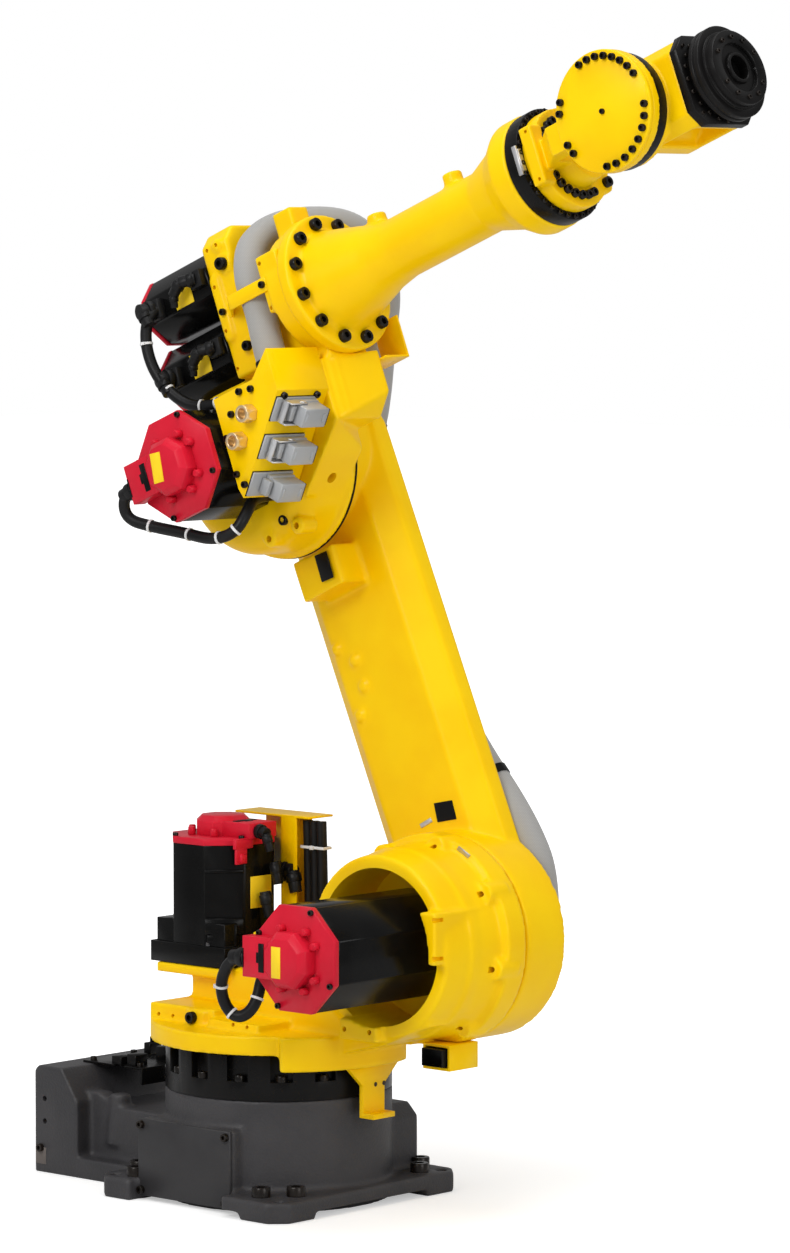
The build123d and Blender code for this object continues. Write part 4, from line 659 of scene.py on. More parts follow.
# %% [markdown]
# The base is thick grey iron with a rough sand-cast skin. Its foot has four lugs for the anchor
# bolts, and the rear box carries the connectors.

# %% Base
CORNERS = [(x, y) for x in (-1, 1) for y in (-1, 1)]
ANCHORS = [(x * wide, y * deep) for x, y in CORNERS for wide, deep in ((187, 155), (149, 200))]
DOWELS = [(x * 194, y * 204) for x, y in CORNERS]
LUG_FOOT, LUG_TOP = 20, 37.5
ANCHOR_SEAT = 24
DOWEL_RADIUS = 9


def base_bosses(mesh):
    rod(mesh, (-300, -88, 60), (-300, -88, 150), 26, 18)
    rod(mesh, (187, 155, LUG_FOOT), (187, 155, 38), 27)
    for x, y in ANCHORS:
        rod(mesh, (x, y, LUG_FOOT), (x, y, LUG_TOP), ANCHOR_SEAT)


def base_holes(mesh):
    for x, y in DOWELS:
        rod(mesh, (x, y, 10), (x, y, 60), DOWEL_RADIUS)
    for z in (92, 132):
        rod(mesh, (-437, -150, z), (-437, -120, z), 5)


cast("base", "base_casting", GROUND, "base", IRON, 4.2, 5, base_bosses, base_holes)
milled("cover", ["side_cover"], "base", GREY, 1.5)
milled("bracket", ["cable_bracket"], "base", BLACK, 1.0, 2)
milled("ring", ["j1_ring"], "base", BLACK, 2.0)
print("base done")

# %% [markdown]
# The turret turns on the ring and holds two motors. The big drum is open on one side, where the
# second motor slides in, and eight pads round its flange take the gear's bolts.

# %% Turret
DRUM_X, DRUM_Z = 320, 194
DRUM_BORE = 133
DRUM_SIDES = 96
PAD_CIRCLE = 164
PAD_TURNS = [math.radians(-11.5 + 45 * k) for k in range(8)]
PADS = [(DRUM_X + PAD_CIRCLE * math.cos(t), DRUM_Z + PAD_CIRCLE * math.sin(t)) for t in PAD_TURNS]


def turret_bosses(mesh):
    rod(mesh, (DRUM_X, -94, DRUM_Z), (DRUM_X, 30, DRUM_Z), 154, 168, DRUM_SIDES)
    for x, z in PADS:
        rod(mesh, (x, 12, z), (x, 60, z), 20)
    box(mesh, (-70, -28), (-156, -140), (33, 58))
    rod(mesh, (-52, -158, 46), (-52, -140, 46), 15)


def turret_holes(mesh):
    rod(mesh, (DRUM_X, -130, DRUM_Z), (DRUM_X, 20, DRUM_Z), DRUM_BORE, None, DRUM_SIDES)
    for x, z in PADS:
        rod(mesh, (x, 0, z), (x, 40, z), 5.5)
    for x, y, z in ((-142, -150, 42), (-108, -150, 42), (83, -165, 43), (50, -165, 44)):
        rod(mesh, (x, y - 10, z), (x, y + 20, z), 3.5)
    for x in (258, 315):
        rod(mesh, (x, -122, 52), (x, -92, 52), 4.5)
    for z in (190, 254):
        rod(mesh, (467, -140, z), (467, -100, z), 4.5)


cast("turret", "turret_casting", TURRET, "turret", YELLOW, 4.0, 5,
     turret_bosses, turret_holes)
milled("sheet", ["stop_bracket", "fork_pocket", "wiring_cover"], "turret", SHEET, 0.8, 2)
for axis in ("j1", "j2"):
    milled("motor", [axis + "_motor_body"], "turret", MOTOR, 3.0)
    milled("motor", [axis + "_motor_cap", axis + "_encoder_cover"], "turret", RED, 1.6)
print("turret done")

# %% [markdown]
# The lower arm is a bevelled box beam. It wraps round the drum at its foot and carries the elbow
# on a boss at its top. Its CAD copy has every boss already, so it is only fused and relaxed.

# %% Lower arm
cast("lower_arm", "lower_arm_casting", ARM, "lower_arm", YELLOW, 4.0, 8)
print("lower arm done")

# %% [markdown]
# The elbow joins three motors, the forearm and the wiring. Its casting is the most crowded one, so
# it has a finer voxel than the arm, which keeps the small bosses of the gear case apart.

# %% Elbow and forearm
GEARCASE_FACE = -70
GEARCASE_BOSSES = ((73, -82, 206, 11), (73, -82, 304, 11), (104, -80, 325, 17), (109, -80, 174, 13),
                   (99, -79, 361, 11))
GEARCASE_HOLES = ((99, 361), (72, 361), (72, 294), (70, 215), (66, 148))
STRAP_HOLES = ((208, 284), (207, 205))
EYE_XS = (14, 83)
EYE_Z = -142


def elbow_bosses(mesh):
    box(mesh, (62, 84), (-82, GEARCASE_FACE), (206, 304))
    for x, front, z, radius in GEARCASE_BOSSES:
        rod(mesh, (x, front, z), (x, GEARCASE_FACE, z), radius)
    for x in EYE_XS:
        rod(mesh, (x, -60, EYE_Z), (x, -20, EYE_Z), 15)
    rod(mesh, (54, -50, -122), (54, -20, -122), 16)


def elbow_holes(mesh):
    rod(mesh, (230, -11, -164), (90, -11, -24), 10)
    for x, z in GEARCASE_HOLES:
        rod(mesh, (x, -100, z), (x, -62, z), 3.6)
    for x, z in STRAP_HOLES:
        rod(mesh, (x, -120, z), (x, -80, z), 4)
    for x in EYE_XS:
        rod(mesh, (x, -70, EYE_Z), (x, -30, EYE_Z), 6)


cast("elbow", "elbow_casting", ELBOW, "elbow", YELLOW, 3.6, 5, elbow_bosses, elbow_holes)
cast("forearm", "forearm", ELBOW, "elbow", YELLOW, 3.6, 8)
milled("sheet", ["connector_box", "hose_strap", "far_bracket"], "elbow", SHEET, 1.2)
milled("motor", ["j3_motor_body", "j4_motor_body", "j5_motor_body"], "elbow", MOTOR, 3.0)
milled("motor", ["j3_motor_cap", "j3_encoder_cover", "j4_motor_cap", "j5_motor_cap"], "elbow",
       RED, 1.6)
milled("ring", ["j4_ring"], "elbow", BLACK, 1.2)
print("elbow done")

# %% [markdown]
# The wrist bends the hand, and the hand turns the tool flange. Both castings are small, so their
# voxels are the finest of all.


# %% Wrist and hand
def wrist_bosses(mesh):
    rod(mesh, (-188, 0, 0), (-150, 0, 0), 56, 50, 64)
    rod(mesh, (-206, 68, -44), (-187, 68, -44), 17)


def wrist_holes(mesh):
    for z in (45, -37):
        rod(mesh, (-191, -100, z), (-191, -80, z), 3)


cast("wrist", "wrist_casting", WRIST, "wrist", YELLOW, 2.6, 4, wrist_bosses, wrist_holes)
milled("cover", ["j5_cover"], "wrist", YELLOW, 2.0)
milled("ring", ["j5_ring"], "wrist", BLACK, 1.0)
cast("hand", "hand_casting", WRIST, "hand", YELLOW, 2.8, 5)
milled("plate", ["hand_plate"], "hand", BLACK, 1.5)
print("wrist done")

# %% [markdown]
# The tool flange is turned on a lathe, so it is made as one: a list of radii and depths is swept
# round the axis. A groove splits the wide rim, and a round recess surrounds the centre bore.

# %% Tool flange
FLANGE_SPIGOT = ((0, 135.4), (61.5, 135.4), (62, 136), (62, 149.2))
FLANGE_RIM = ((77, 149.2), (78, 150.2), (78, 156.5), (76.2, 157.5), (76.2, 160), (78, 161), (78, 168.5),
              (76.5, 170))
FLANGE_FACE = ((67, 170), (66, 171), (66, 173.5), (63, 174.5), (63, 186.6), (61.6, 188), (43, 188))
FLANGE_RECESS = ((41.5, 187), (40, 181.5), (27, 181.5), (25.5, 187), (24.5, 188))
FLANGE_BORE = ((21.4, 188), (20, 186.6), (20, 168), (0, 168))
FLANGE_TURNING = FLANGE_SPIGOT + FLANGE_RIM + FLANGE_FACE + FLANGE_RECESS + FLANGE_BORE


def lathe(mesh, turning, sides=96):
    """Closed shape turned about the x axis, from (radius, depth) pairs that start and end on it."""
    first, last = [mesh.verts.new((turning[k][1], 0, 0)) for k in (0, -1)]
    rings = []
    for radius, depth in turning[1:-1]:
        ring = [(depth, radius * math.cos(t), radius * math.sin(t)) for t in around(sides)]
        rings.append([mesh.verts.new(point) for point in ring])
    faces = walls(mesh, rings)
    for k in range(sides):
        n = (k + 1) % sides
        faces.append(mesh.faces.new((first, rings[0][n], rings[0][k])))
        faces.append(mesh.faces.new((rings[-1][k], rings[-1][n], last)))
    bmesh.ops.recalc_face_normals(mesh, faces=faces)


fitted("flange_turned", WRIST, "tool_flange", "black_steel", BLACK,
       lambda m: lathe(m, FLANGE_TURNING), 0.3, nodes=("tool_flange",))
print("tool flange", len(FLANGE_TURNING), "steps")

# %% [markdown]
# Each wiring plug has a cast hood on a flange plate. A lever of bright steel clips two of the hoods
# down, and the far end of a hood is closed by a black cap. The hood is a slab with wide bevels, so
# that it catches light as a die casting does.

# %% Hooded connectors
HOOD_NODES = ("connector_upper", "connector_middle", "connector_lower")
HOOD_FIRST, HOOD_PITCH = 34, 69
LEVERS = 2


def hood(mesh, x):
    boxes(mesh, ((x - 22, x + 22), (-182, -86), (0, 5)), ((x - 14, x + 14), (-160, -150), (5, 24)),
          ((x - 17, x + 17), (-148, -91), (4, 43)), ((x - 19, x + 19), (-150, -90), (4, 15)))
    for y in (-140, -100):
        box(mesh, (x - 9, x + 9), (y - 3, y + 3), (40, 45))


def hood_end(mesh, x):
    boxes(mesh, ((x - 15, x + 15), (-91, -86.4), (8, 40)), ((x - 23, x + 23), (-183, -85.5), (-0.4, 1.2)))


def hood_lever(mesh, x):
    for low, high in ((x - 20.5, x - 17.5), (x + 17.5, x + 20.5)):
        box(mesh, (low, high), (-170, -128), (10, 26))
    box(mesh, (x - 20, x + 20), (-172, -167), (9, 20))
    rod(mesh, (x - 22, -136, 18), (x + 22, -136, 18), 5)


for k, node in enumerate(HOOD_NODES):
    hood_x = HOOD_FIRST + HOOD_PITCH * k
    fitted("hood_" + node, SOCKETS, "elbow", "connector_grey", CAST_GREY,
           lambda m: hood(m, hood_x), 4.0, 4, (node,))
    fitted("hood_end_" + node, SOCKETS, "elbow", "black_steel", BLACK, lambda m: hood_end(m, hood_x), 1.5)
    if k < LEVERS:
        fitted("hood_lever_" + node, SOCKETS, "elbow", "connector_grey", STEEL,
               lambda m: hood_lever(m, hood_x), 1.2)
print("hoods", len(HOOD_NODES))

# %% [markdown]
# The air fittings are brass hexagons with an open bore. Rings of points go from the outer hexagon
# over a chamfer to the bore and down into it, so each fitting is one closed shell.

# %% Air fittings
FITTING_SIDES = 36
FITTING_HEX = ((16, -185.2), (16, -200))
FITTING_ROUND = ((14.5, -202), (14.5, -208.5), (13.5, -209.2), (10, -209.2), (9, -208), (9, -193))
FITTINGS = (("air_fitting_upper", 168, 32), ("air_fitting_lower", 130, -3))


def hexagon(turn):
    """Share of a hexagon's corner radius at which its side lies, at an angle."""
    return math.cos(math.pi / 6) / math.cos(turn % (math.pi / 3) - math.pi / 6)


def fitting_shell(mesh, x, z):
    rings = []
    for radius, y in FITTING_HEX + FITTING_ROUND:
        ring = []
        for turn in around(FITTING_SIDES):
            r = radius * hexagon(turn) if (radius, y) in FITTING_HEX else radius
            ring.append(mesh.verts.new((x + r * math.cos(turn), y, z + r * math.sin(turn))))
        rings.append(ring)
    faces = walls(mesh, rings)
    faces += [mesh.faces.new(rings[0]), mesh.faces.new(rings[-1])]
    bmesh.ops.recalc_face_normals(mesh, faces=faces)


for node, x, z in FITTINGS:
    fitted(node + "_brass", ELBOW, "elbow", "brass_fitting", BRASS,
           lambda m: fitting_shell(m, x, z), 0.5, nodes=(node,))
print("fittings", len(FITTINGS))

# %% [markdown]
# The motors are fed by black plugs: an angled power plug near the gear case and a round signal plug
# near the cap. Each plug is a stack of barrels and a coupling ring.

# %% Motor plugs
PLUG_EDGE = 0.8
COUPLING_WIDER = 1.18
BARREL_TAPER = 0.92
SMALL_MOTOR_ZS = (312, 187)


def barrel(mesh, start, end, radius):
    """Plug barrel with a wider coupling ring at its start."""
    a, b = Vector(start), Vector(end)
    rod(mesh, a, b, radius, radius * BARREL_TAPER, 28)
    rod(mesh, a.lerp(b, 0.12), a.lerp(b, 0.5), radius * COUPLING_WIDER, None, 14)


def small_motor_plugs(mesh):
    for z in SMALL_MOTOR_ZS:
        box(mesh, (26, 54), (-90, -75), (z - 6, z + 24))
        barrel(mesh, (40, -86, z + 10), (14, -100, z + 14), 11)
        barrel(mesh, (16, -99, z + 15), (-8, -101, z - 2), 10)
        barrel(mesh, (-6, -101, z - 2), (-14, -99, z - 22), 7)
        box(mesh, (-90, -56), (-92, -75), (z - 22, z + 12))
        barrel(mesh, (-74, -88, z - 4), (-82, -116, z - 4), 15)
        barrel(mesh, (-80, -108, z - 6), (-70, -112, z - 34), 11)


def j3_plug(mesh):
    barrel(mesh, (-94, -230, -6), (-126, -230, -8), 13)
    box(mesh, (-96, -91), (-243, -221), (-22, 12))


def j2_plugs(mesh):
    barrel(mesh, (-94, -310, -4), (-130, -310, -6), 14)
    box(mesh, (-96, -91), (-323, -300), (-20, 14))
    barrel(mesh, (-87, -250, -32), (-114, -250, -32), 13)


def j1_plugs(mesh):
    barrel(mesh, (-38, -12, 356), (-14, -14, 352), 11)
    barrel(mesh, (-16, -14, 352), (-8, -12, 322), 8)
    box(mesh, (-46, -34), (34, 66), (262, 296))
    barrel(mesh, (-36, 50, 280), (-10, 50, 282), 15)
    barrel(mesh, (-14, 50, 282), (-4, 48, 246), 12)
    barrel(mesh, (-24, 16, 300), (-16, 16, 262), 9)
    barrel(mesh, (-30, -2, 250), (-22, 0, 206), 10)


PLUGS = (("plugs_small_motors", ELBOW, "elbow", small_motor_plugs), ("plug_j3", ELBOW, "elbow", j3_plug),
         ("plugs_j2", DRUM, "turret", j2_plugs), ("plugs_j1", TURRET, "turret", j1_plugs))
for name, where, body, build in PLUGS:
    fitted(name, where, body, "cable_black", RUBBER, build, PLUG_EDGE)
print("plugs", len(PLUGS))

# %% [markdown]
# Thin blank plates sit on the motors, and marks of bare steel show where an axis stands. Black pads
# cover two machined faces of the lower arm. Each one is a slab: an outline between two planes.


# %% Plates and pads
def slab(corners, low, high):
    return lambda m: prism(m, corners, low, high)


def oblong(x, z, wide, high):
    return ((x - wide / 2, z - high / 2), (x + wide / 2, z - high / 2),
            (x + wide / 2, z + high / 2), (x - wide / 2, z + high / 2))


def ring_mark(mesh):
    boxes(mesh, ((-216, -211.5), (-97, -88), (-14, 24)), ((-222, -213), (-99, -95), (-20, 30)))


PLATES = (
    ("plate_j2_cover", DRUM, "turret", "motor_red", PLATE,
     slab(oblong(-11, -3, 20, 52), -332.2, -330.6), 0.5),
    ("plate_j3_cover", ELBOW, "elbow", "motor_red", PLATE,
     slab(((-19, 30), (4, 26), (-4, -24), (-27, -21)), -252.2, -250.6), 0.5),
    ("plate_j4_motor", ELBOW, "elbow", "motor_black", PLATE,
     slab(oblong(-8, 312, 44, 42), -77.2, -75.6), 0.5),
    ("plate_j5_motor", ELBOW, "elbow", "motor_black", PLATE,
     slab(oblong(-11, 187, 44, 42), -77.2, -75.6), 0.5),
    ("plate_j1_motor", TURRET, "turret", "motor_black", PLATE,
     lambda m: box(m, (-45.4, -43.8), (-23, 28), (221, 276)), 0.5),
    ("pad_lower", ARM, "lower_arm", "black_steel", BLACK,
     slab(((28, 228), (69, 219), (66, 186), (23, 195)), 116.4, 118.4), 0.8),
    ("pad_upper", ARM, "lower_arm", "black_steel", BLACK,
     slab(((-4, 648), (25, 646), (27, 694), (-2, 696)), 49.6, 51.6), 0.8),
    ("mark_arm", ARM, "lower_arm", "connector_grey", STEEL,
     slab(((-16, 198), (12, 200), (11, 208), (-17, 206)), 116.6, 118.4), 0.6),
    ("mark_arm_top", ARM, "lower_arm", "connector_grey", STEEL,
     slab(oblong(-16, 714, 34, 10), 47.4, 51.6), 0.8),
    ("mark_drum", DRUM, "turret", "connector_grey", STEEL,
     slab(((66, 158), (91, 145), (95, 152), (70, 165)), 27.2, 30.0), 0.6),
    ("mark_ring", WRIST, "elbow", "connector_grey", STEEL, ring_mark, 0.6),
    ("patch_rear_box", GROUND, "base", "grey_paint", PRIMER,
     slab(oblong(-447, 30, 26, 30), -140.8, -139.6), 0.4),
)
for plate in PLATES:
    fitted(*plate)
print("plates", len(PLATES))

# %% [markdown]
# The first motor carries a rough side panel, two ledges and a red tab that hangs from its cap. The
# panel lies on the slanted side, so it gets a plane of its own.

# %% First motor's panels
SLANT = plane(at(TURRET, -70.5, -61.5, 0), (1, 1, 0))


def ledges(mesh):
    boxes(mesh, ((-34, 34), (-7, 2), (178, 206)), ((-34, 34), (-2.5, 2), (284, 290)),
          ((-30, 8), (-9, 2), (164, 178)), ((14, 22), (-12, 2), (150, 196)))


def rough_panel(mesh):
    boxes(mesh, ((-32, 26), (-4, 2), (128, 164)), ((-26, 20), (-5, 2), (133, 159)))


def red_tab(mesh):
    boxes(mesh, ((-48, -40), (-64, -20), (326, 344)), ((-46, -41), (-62, -34), (300, 330)),
          ((-46, -36), (-54, -40), (303, 318)))


fitted("panel_j1", SLANT, "turret", "motor_black", MOTOR, ledges, 1.5)
fitted("rough_j1", SLANT, "turret", "motor_black", IRON, rough_panel, 2.0)
fitted("tab_j1", TURRET, "turret", "motor_red", RED, red_tab, 2.0)
print("first motor's panels done")

# %% [markdown]
# Small lugs hold each round cover on its red cap, and a dark slot separates the cover from its
# connector arm. The three covers are alike, so one drawing serves them on three planes.

# %% Encoder covers
COVER_LUGS = ((30, 48), (50, 26), (50, -30), (26, -50), (-26, 50), (-26, -50))
J2_CAP_Y, J3_CAP_Y = -297, -217
J1_CAP_X, J1_CAP_TOP = -132, 343
CAPS = (
    ("j2", plane(at(DRUM, 0, J2_CAP_Y, 0)), "turret"),
    ("j3", plane(at(ELBOW, 0, J3_CAP_Y, 0), reach, rise), "elbow"),
    ("j1", plane(at(TURRET, J1_CAP_X, 0, J1_CAP_TOP), (-1, 0, 0), (0, -1, 0)), "turret"),
)


def cover_lugs(mesh):
    for x, z in COVER_LUGS:
        rod(mesh, (x, 0, z), (x, -14, z), 7, 6, 20)


def cover_slot(mesh):
    boxes(mesh, ((-58, -46), (-27.5, -4), (-24, 24)), ((-64, -58), (-26.6, -20), (-9, 9)))


for name, where, body in CAPS:
    fitted("lugs_" + name, where, body, "motor_red", RED, cover_lugs, 1.5)
    fitted("slot_" + name, where, body, "black_steel", BLACK, cover_slot, 1.0)
print("encoder covers", len(CAPS))

# %% [markdown]
# The last details. A black band in the groove between drum and arm, a black hoop in the seam beside
# the third axis, thin dark sheets inside the lifting pocket and dark discs on the holes in the stop
# bracket are painted shade. The tie round the upright leads and the clips on the rear box are real parts.

# %% Dark details and painted shade
POCKET_SHADE_X, POCKET_SHADE_Y, POCKET_SHADE_Z = (342.1, 387.9), (-11.4, 78.4), (260.0, 288.0)
POCKET_SHADE_THICK = 0.9
UPRIGHT_TIE_Z = (322, 327)


def hoop(mesh, radius, low, high, thick, sides=96):
    """Round band about the y axis."""
    rings = []
    for r, y in ((radius, low), (radius, high), (radius - thick, high), (radius - thick, low)):
        rings.append([mesh.verts.new((r * math.cos(t), y, r * math.sin(t))) for t in around(sides)])
    bmesh.ops.recalc_face_normals(mesh, faces=walls(mesh, rings, closed=True))


# Painted shade: thin black sheets inside the lifting pocket darken it where shade falls.
def pocket_lining(mesh):
    boxes(mesh, (POCKET_SHADE_X, POCKET_SHADE_Y, (POCKET_SHADE_Z[0] - POCKET_SHADE_THICK, POCKET_SHADE_Z[0])),
          (POCKET_SHADE_X, POCKET_SHADE_Y, (POCKET_SHADE_Z[1], POCKET_SHADE_Z[1] + POCKET_SHADE_THICK)),
          ((POCKET_SHADE_X[0], POCKET_SHADE_X[0] + POCKET_SHADE_THICK), POCKET_SHADE_Y, POCKET_SHADE_Z),
          ((POCKET_SHADE_X[1] - POCKET_SHADE_THICK, POCKET_SHADE_X[1]), POCKET_SHADE_Y, POCKET_SHADE_Z))


def upright_tie(mesh):
    boxes(mesh, ((-6, 48), (61.2, 62.6), UPRIGHT_TIE_Z), ((-6, 48), (81.4, 82.8), UPRIGHT_TIE_Z),
          ((-7, -5.6), (61.2, 82.8), UPRIGHT_TIE_Z), ((47, 48.4), (61.2, 82.8), UPRIGHT_TIE_Z),
          ((18, 26), (58, 62), (321, 328)))


# Painted shade: flat dark discs on the stop bracket stand for the dark inside of its holes.
def stop_hole_shade(mesh):
    for y in (4.2, 25.1):
        rod(mesh, (221, y, 212), (223.4, y, 212), 4, None, 20)


def rear_clips(mesh):
    boxes(mesh, ((-400, -384), (70, 100), (190, 212)), ((-352, -328), (-58, -30), (193, 208)),
          ((-318, -296), (-54, -24), (193, 214)), ((-326, -290), (26, 54), (193, 218)))
    rod(mesh, (-392, 86, 210), (-392, 86, 222), 6, None, 18)


# Painted shade: a black band in the groove between drum and arm darkens it.
fitted("groove_j2", DRUM, "turret", "black_steel", BLACK, lambda m: hoop(m, 167, 70.2, 76.2, 4), 0.4)
# Painted shade: a black hoop behind the elbow head draws the shadowed seam as a dark line.
fitted("seam_j3", ELBOW, "elbow", "black_steel", BLACK, lambda m: hoop(m, 168.5, 48.4, 51.0, 3), 0.3)
fitted("pocket_lining", GROUND, "turret", "black_steel", BLACK, pocket_lining, 0.2, 1)
fitted("tie_upright", TURRET, "turret", "cable_black", TIE, upright_tie, 0.5)
fitted("holes_stop", GROUND, "turret", "black_steel", BORE, stop_hole_shade, 0.3)
fitted("clamps_rear", GROUND, "base", "black_steel", BLACK, rear_clips, 1.5)
print("dark details done")

# %% [markdown]
# Socket screws hold a robot together, well over a hundred of them here. One screw is modelled once,
# and a Geometry Nodes tree puts it on every marked point, turned along the point's direction and
# scaled to its size.

# %% Screw template
SCREW_SIDES = 24
SCREW_HEAD = ((1.0, 0.0), (1.0, 0.95), (0.93, 1.05))
SOCKET_RADIUS = 0.56
SOCKET_HEIGHTS = (1.05, 0.45)


def screw_mesh():
    """Socket head screw of radius one: chamfered head with a six-sided socket."""
    mesh = bmesh.new()
    rings = []
    for radius, height in SCREW_HEAD:
        ring = [(radius * math.cos(t), radius * math.sin(t), height) for t in around(SCREW_SIDES)]
        rings.append([mesh.verts.new(point) for point in ring])
    for height in SOCKET_HEIGHTS:
        ring = []
        for turn in around(SCREW_SIDES):
            r = SOCKET_RADIUS * hexagon(turn)
            ring.append(mesh.verts.new((r * math.cos(turn), r * math.sin(turn), height)))
        rings.append(ring)
    walls(mesh, rings)
    mesh.faces.new(rings[-1])
    mesh.faces.new(list(reversed(rings[0])))
    data = bpy.data.meshes.new("screw")
    mesh.to_mesh(data)
    mesh.free()
    return data


screw = bpy.data.objects.new("screw_template", screw_mesh())
print("screw faces", len(screw.data.polygons))

# %% [markdown]
# The tree reads two marks from each point, its facing and its size, and spins every screw by a random
# angle from a fixed seed, because no fitter lines up the sockets.

# %% Scatter tree
SEED = 7
FULL_SPIN = 6.28
TREE_INPUTS = (("Points", "NodeSocketGeometry"), ("Piece", "NodeSocketObject"),
               ("Finish", "NodeSocketMaterial"), ("Size", "NodeSocketFloat"), ("Seed", "NodeSocketInt"))


def scatter_tree():
    """Tree that puts an object on every point, along 'facing' and scaled by 'size'."""
    tree = bpy.data.node_groups.new("scatter", "GeometryNodeTree")
    for name, kind in TREE_INPUTS:
        tree.interface.new_socket(name, in_out="INPUT", socket_type=kind)
    tree.interface.new_socket("Result", in_out="OUTPUT", socket_type="NodeSocketGeometry")
    new = tree.nodes.new
    link = tree.links.new
    given = new("NodeGroupInput")
    done = new("NodeGroupOutput")
    piece = new("GeometryNodeObjectInfo")
    place = new("GeometryNodeInstanceOnPoints")
    facing = new("GeometryNodeInputNamedAttribute")
    facing.data_type = "FLOAT_VECTOR"
    facing.inputs["Name"].default_value = "facing"
    size = new("GeometryNodeInputNamedAttribute")
    size.data_type = "FLOAT"
    size.inputs["Name"].default_value = "size"
    turn = new("FunctionNodeAlignRotationToVector")
    turn.axis = "Z"
    spin = new("FunctionNodeRandomValue")
    spin.data_type = "FLOAT"
    spin.inputs[3].default_value = FULL_SPIN
    axis = new("FunctionNodeAxisAngleToRotation")
    roll = new("FunctionNodeRotateRotation")
    roll.rotation_space = "LOCAL"
    grow = new("ShaderNodeMath")
    grow.operation = "MULTIPLY"
    real = new("GeometryNodeRealizeInstances")
    coat = new("GeometryNodeSetMaterial")
    link(given.outputs["Points"], place.inputs["Points"])
    link(given.outputs["Piece"], piece.inputs["Object"])
    link(piece.outputs["Geometry"], place.inputs["Instance"])
    link(facing.outputs["Attribute"], turn.inputs["Vector"])
    link(given.outputs["Seed"], spin.inputs["Seed"])
    link(spin.outputs[1], axis.inputs["Angle"])
    link(turn.outputs["Rotation"], roll.inputs["Rotation"])
    link(axis.outputs["Rotation"], roll.inputs["Rotate By"])
    link(roll.outputs["Rotation"], place.inputs["Rotation"])
    link(size.outputs["Attribute"], grow.inputs[0])
    link(given.outputs["Size"], grow.inputs[1])
    link(grow.outputs[0], place.inputs["Scale"])
    link(place.outputs["Instances"], real.inputs["Geometry"])
    link(real.outputs["Geometry"], coat.inputs["Geometry"])
    link(given.outputs["Finish"], coat.inputs["Material"])
    link(coat.outputs["Geometry"], done.inputs["Result"])
    return tree


SCATTER = scatter_tree()


def scatter(name, body, piece, material, spots):
    """Pieces on spots of (plane, point, direction, size), baked into one mesh for a body."""
    points = bpy.data.meshes.new(name)
    points.from_pydata([at(where, *point) for where, point, _, _ in spots], [], [])
    points.attributes.new("facing", "FLOAT_VECTOR", "POINT")
    points.attributes.new("size", "FLOAT", "POINT")
    for k, (where, _, direction, size) in enumerate(spots):
        points.attributes["facing"].data[k].vector = where.to_3x3() @ Vector(direction)
        points.attributes["size"].data[k].value = size
    maker = bench(name, points)
    spread = maker.modifiers.new("scatter", "NODES")
    spread.node_group = SCATTER
    given = {"Piece": piece, "Finish": material, "Size": MM, "Seed": SEED}
    for socket in SCATTER.interface.items_tree:
        if socket.in_out == "INPUT" and socket.name in given:
            spread[socket.identifier] = given[socket.name]
    mesh = plain(maker)
    bpy.data.objects.remove(maker)
    print(name, len(spots), "faces", len(mesh.polygons))
    show(name, mesh, [material], body)


print("scatter tree", len(SCATTER.nodes), "nodes")

# %% [markdown]
# Each body's screws are listed by where they sit. Circles of bolts come from a centre, a radius
# and a list of angles, as they do on a drawing.

# %% Screws of the base and the turret
NEAR, UPWARD, ONWARD, LEFT = (0, -1, 0), (0, 0, 1), (1, 0, 0), (0, 1, 0)
RING_CIRCLE, RING_FACE, RING_SCREWS = 185, 222, 16
CAP_INSET = 0.93


def circle(where, middle, radius, turns, direction, size, u, v):
    """Screws on a circle in the plane of the directions u and v."""
    spots = []
    for turn in turns:
        a = math.radians(turn)
        point = Vector(middle) + radius * (math.cos(a) * Vector(u) + math.sin(a) * Vector(v))
        spots.append((where, point, direction, size))
    return spots


base_screws = [(GROUND, (x, y, 37), UPWARD, 16) for x, y in ANCHORS]
base_screws += [(GROUND, (x, -211, z), NEAR, 7) for x in (-124, 77) for z in (18, 131)]
base_screws.append((GROUND, (-446, -140, 44), NEAR, 7))
for x, y in ((-405, -50), (-405, 50), (-290, -48), (-290, 48)):
    base_screws.append((GROUND, (x, y, 194), UPWARD, 6))
for turn in around(RING_SCREWS):
    spot = (RING_CIRCLE * math.cos(turn), RING_CIRCLE * math.sin(turn), RING_FACE)
    base_screws.append((GROUND, spot, UPWARD, 10))
scatter("screws_base", "base", screw, BOLT, base_screws)

turret_screws = [(TURRET, (-52, -158, 46), NEAR, 10)]
for x, z in ((40, 86), (86, -40), (-40, -86), (-86, 40)):
    turret_screws.append((DRUM, (x * CAP_INSET, J2_CAP_Y, z * CAP_INSET), NEAR, 5))
for x, y in ((38, 80), (80, -38), (-38, -80), (-80, 38)):
    turret_screws.append((TURRET, (J1_CAP_X + x, y, J1_CAP_TOP), UPWARD, 5))
scatter("screws_turret", "turret", screw, BOLT, turret_screws)

# %% [markdown]
# The forearm is bolted to the elbow by twelve large screws, and the ring of the fourth axis has a
# close row of small ones.

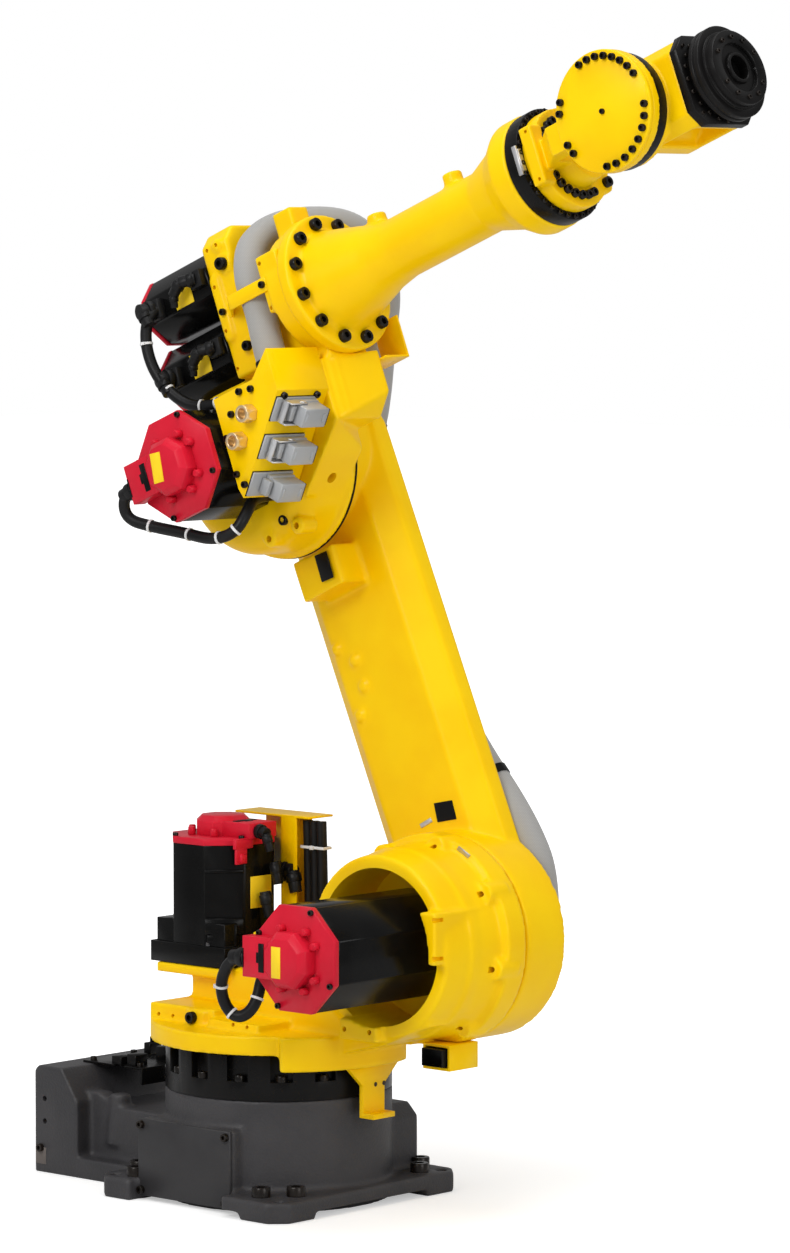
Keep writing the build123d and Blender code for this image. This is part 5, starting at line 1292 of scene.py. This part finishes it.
# %% Screws of the elbow
FOREARM_TURNS = [-17 + 30 * k for k in range(12)]
J4_RING_TURNS = [11.25 * k for k in range(32)]
BOX_SCREWS = ((157, 75), (126, 46), (102, 12), (101, -52), (112, -74), (184, 70))
elbow_screws = circle(ELBOW, (274.8, 0, 225), 104, FOREARM_TURNS, ONWARD, 11, UPWARD, NEAR)
elbow_screws += [(ELBOW, (x, -185, z), NEAR, 6) for x, z in BOX_SCREWS]
elbow_screws += [(SOCKETS, (9, y, 0), UPWARD, 6) for y in (-167, -87)]
for x, z in ((36, 80), (80, -36), (-36, -80), (-80, 36)):
    elbow_screws.append((ELBOW, (x, J3_CAP_Y, z), NEAR, 5))
for spot, size in (((104, -79, 325), 11), ((109, -79, 174), 9), ((54, -50, -122), 9), ((78, -83, 247), 6),
                   ((206, -111, 247), 6)):
    elbow_screws.append((ELBOW, spot, NEAR, size))
elbow_screws += circle(ELBOW, (800, 0, 225), 91.8, J4_RING_TURNS, ONWARD, 4.2, NEAR, UPWARD)
scatter("screws_elbow", "elbow", screw, BOLT, elbow_screws)

# %% [markdown]
# The screws of the wrist's round cover and of its neck leave gaps, so their angles are lists. The
# hand has even circles, and the flange has a gap on each side.

# %% Screws of the wrist, hand and flange
PLATE_FACE = (134, 0, 0)
HAND_TURNS = [18 * k for k in range(20)]
PLATE_TURNS = [45 + 90 * k for k in range(4)]
COVER_TURNS = [101, 89.5, 78, 66.5, 55, 43.5, 32, 20.5, -14.5, -27, -39.5, -52.3, -65, -78, -91.2, -104,
               -153, -164.6, 160.5, 148.5]
NECK_TURNS = [66, 54, 42, 30, -30, -44, -58, -72, -86, -100, -113]
TOOL_TURNS = [30, 60, 90, 120, 150, -30, -60, -90, -120, -150]
hand_screws = circle(WRIST, PLATE_FACE, 69.5, HAND_TURNS, ONWARD, 3.4, LEFT, UPWARD)
hand_screws += circle(WRIST, PLATE_FACE, 81, PLATE_TURNS, ONWARD, 3.0, LEFT, UPWARD)
scatter("screws_hand", "hand", screw, BOLT, hand_screws)
wrist_screws = circle(WRIST, (0, -128, 0), 87.6, COVER_TURNS, NEAR, 6, ONWARD, UPWARD)
wrist_screws.append((WRIST, (0, -127.5, 0), NEAR, 4.5))
wrist_screws += circle(WRIST, (-186.5, 0, 0), 67, NECK_TURNS, ONWARD, 7.5, NEAR, UPWARD)
wrist_screws.append((WRIST, (-187, 68, -44), ONWARD, 9))
scatter("screws_wrist", "wrist", screw, BOLT, wrist_screws)
tool_screws = circle(WRIST, (187, 0, 0), 51, TOOL_TURNS, ONWARD, 4, LEFT, UPWARD)
scatter("screws_flange", "tool_flange", screw, BOLT, tool_screws)
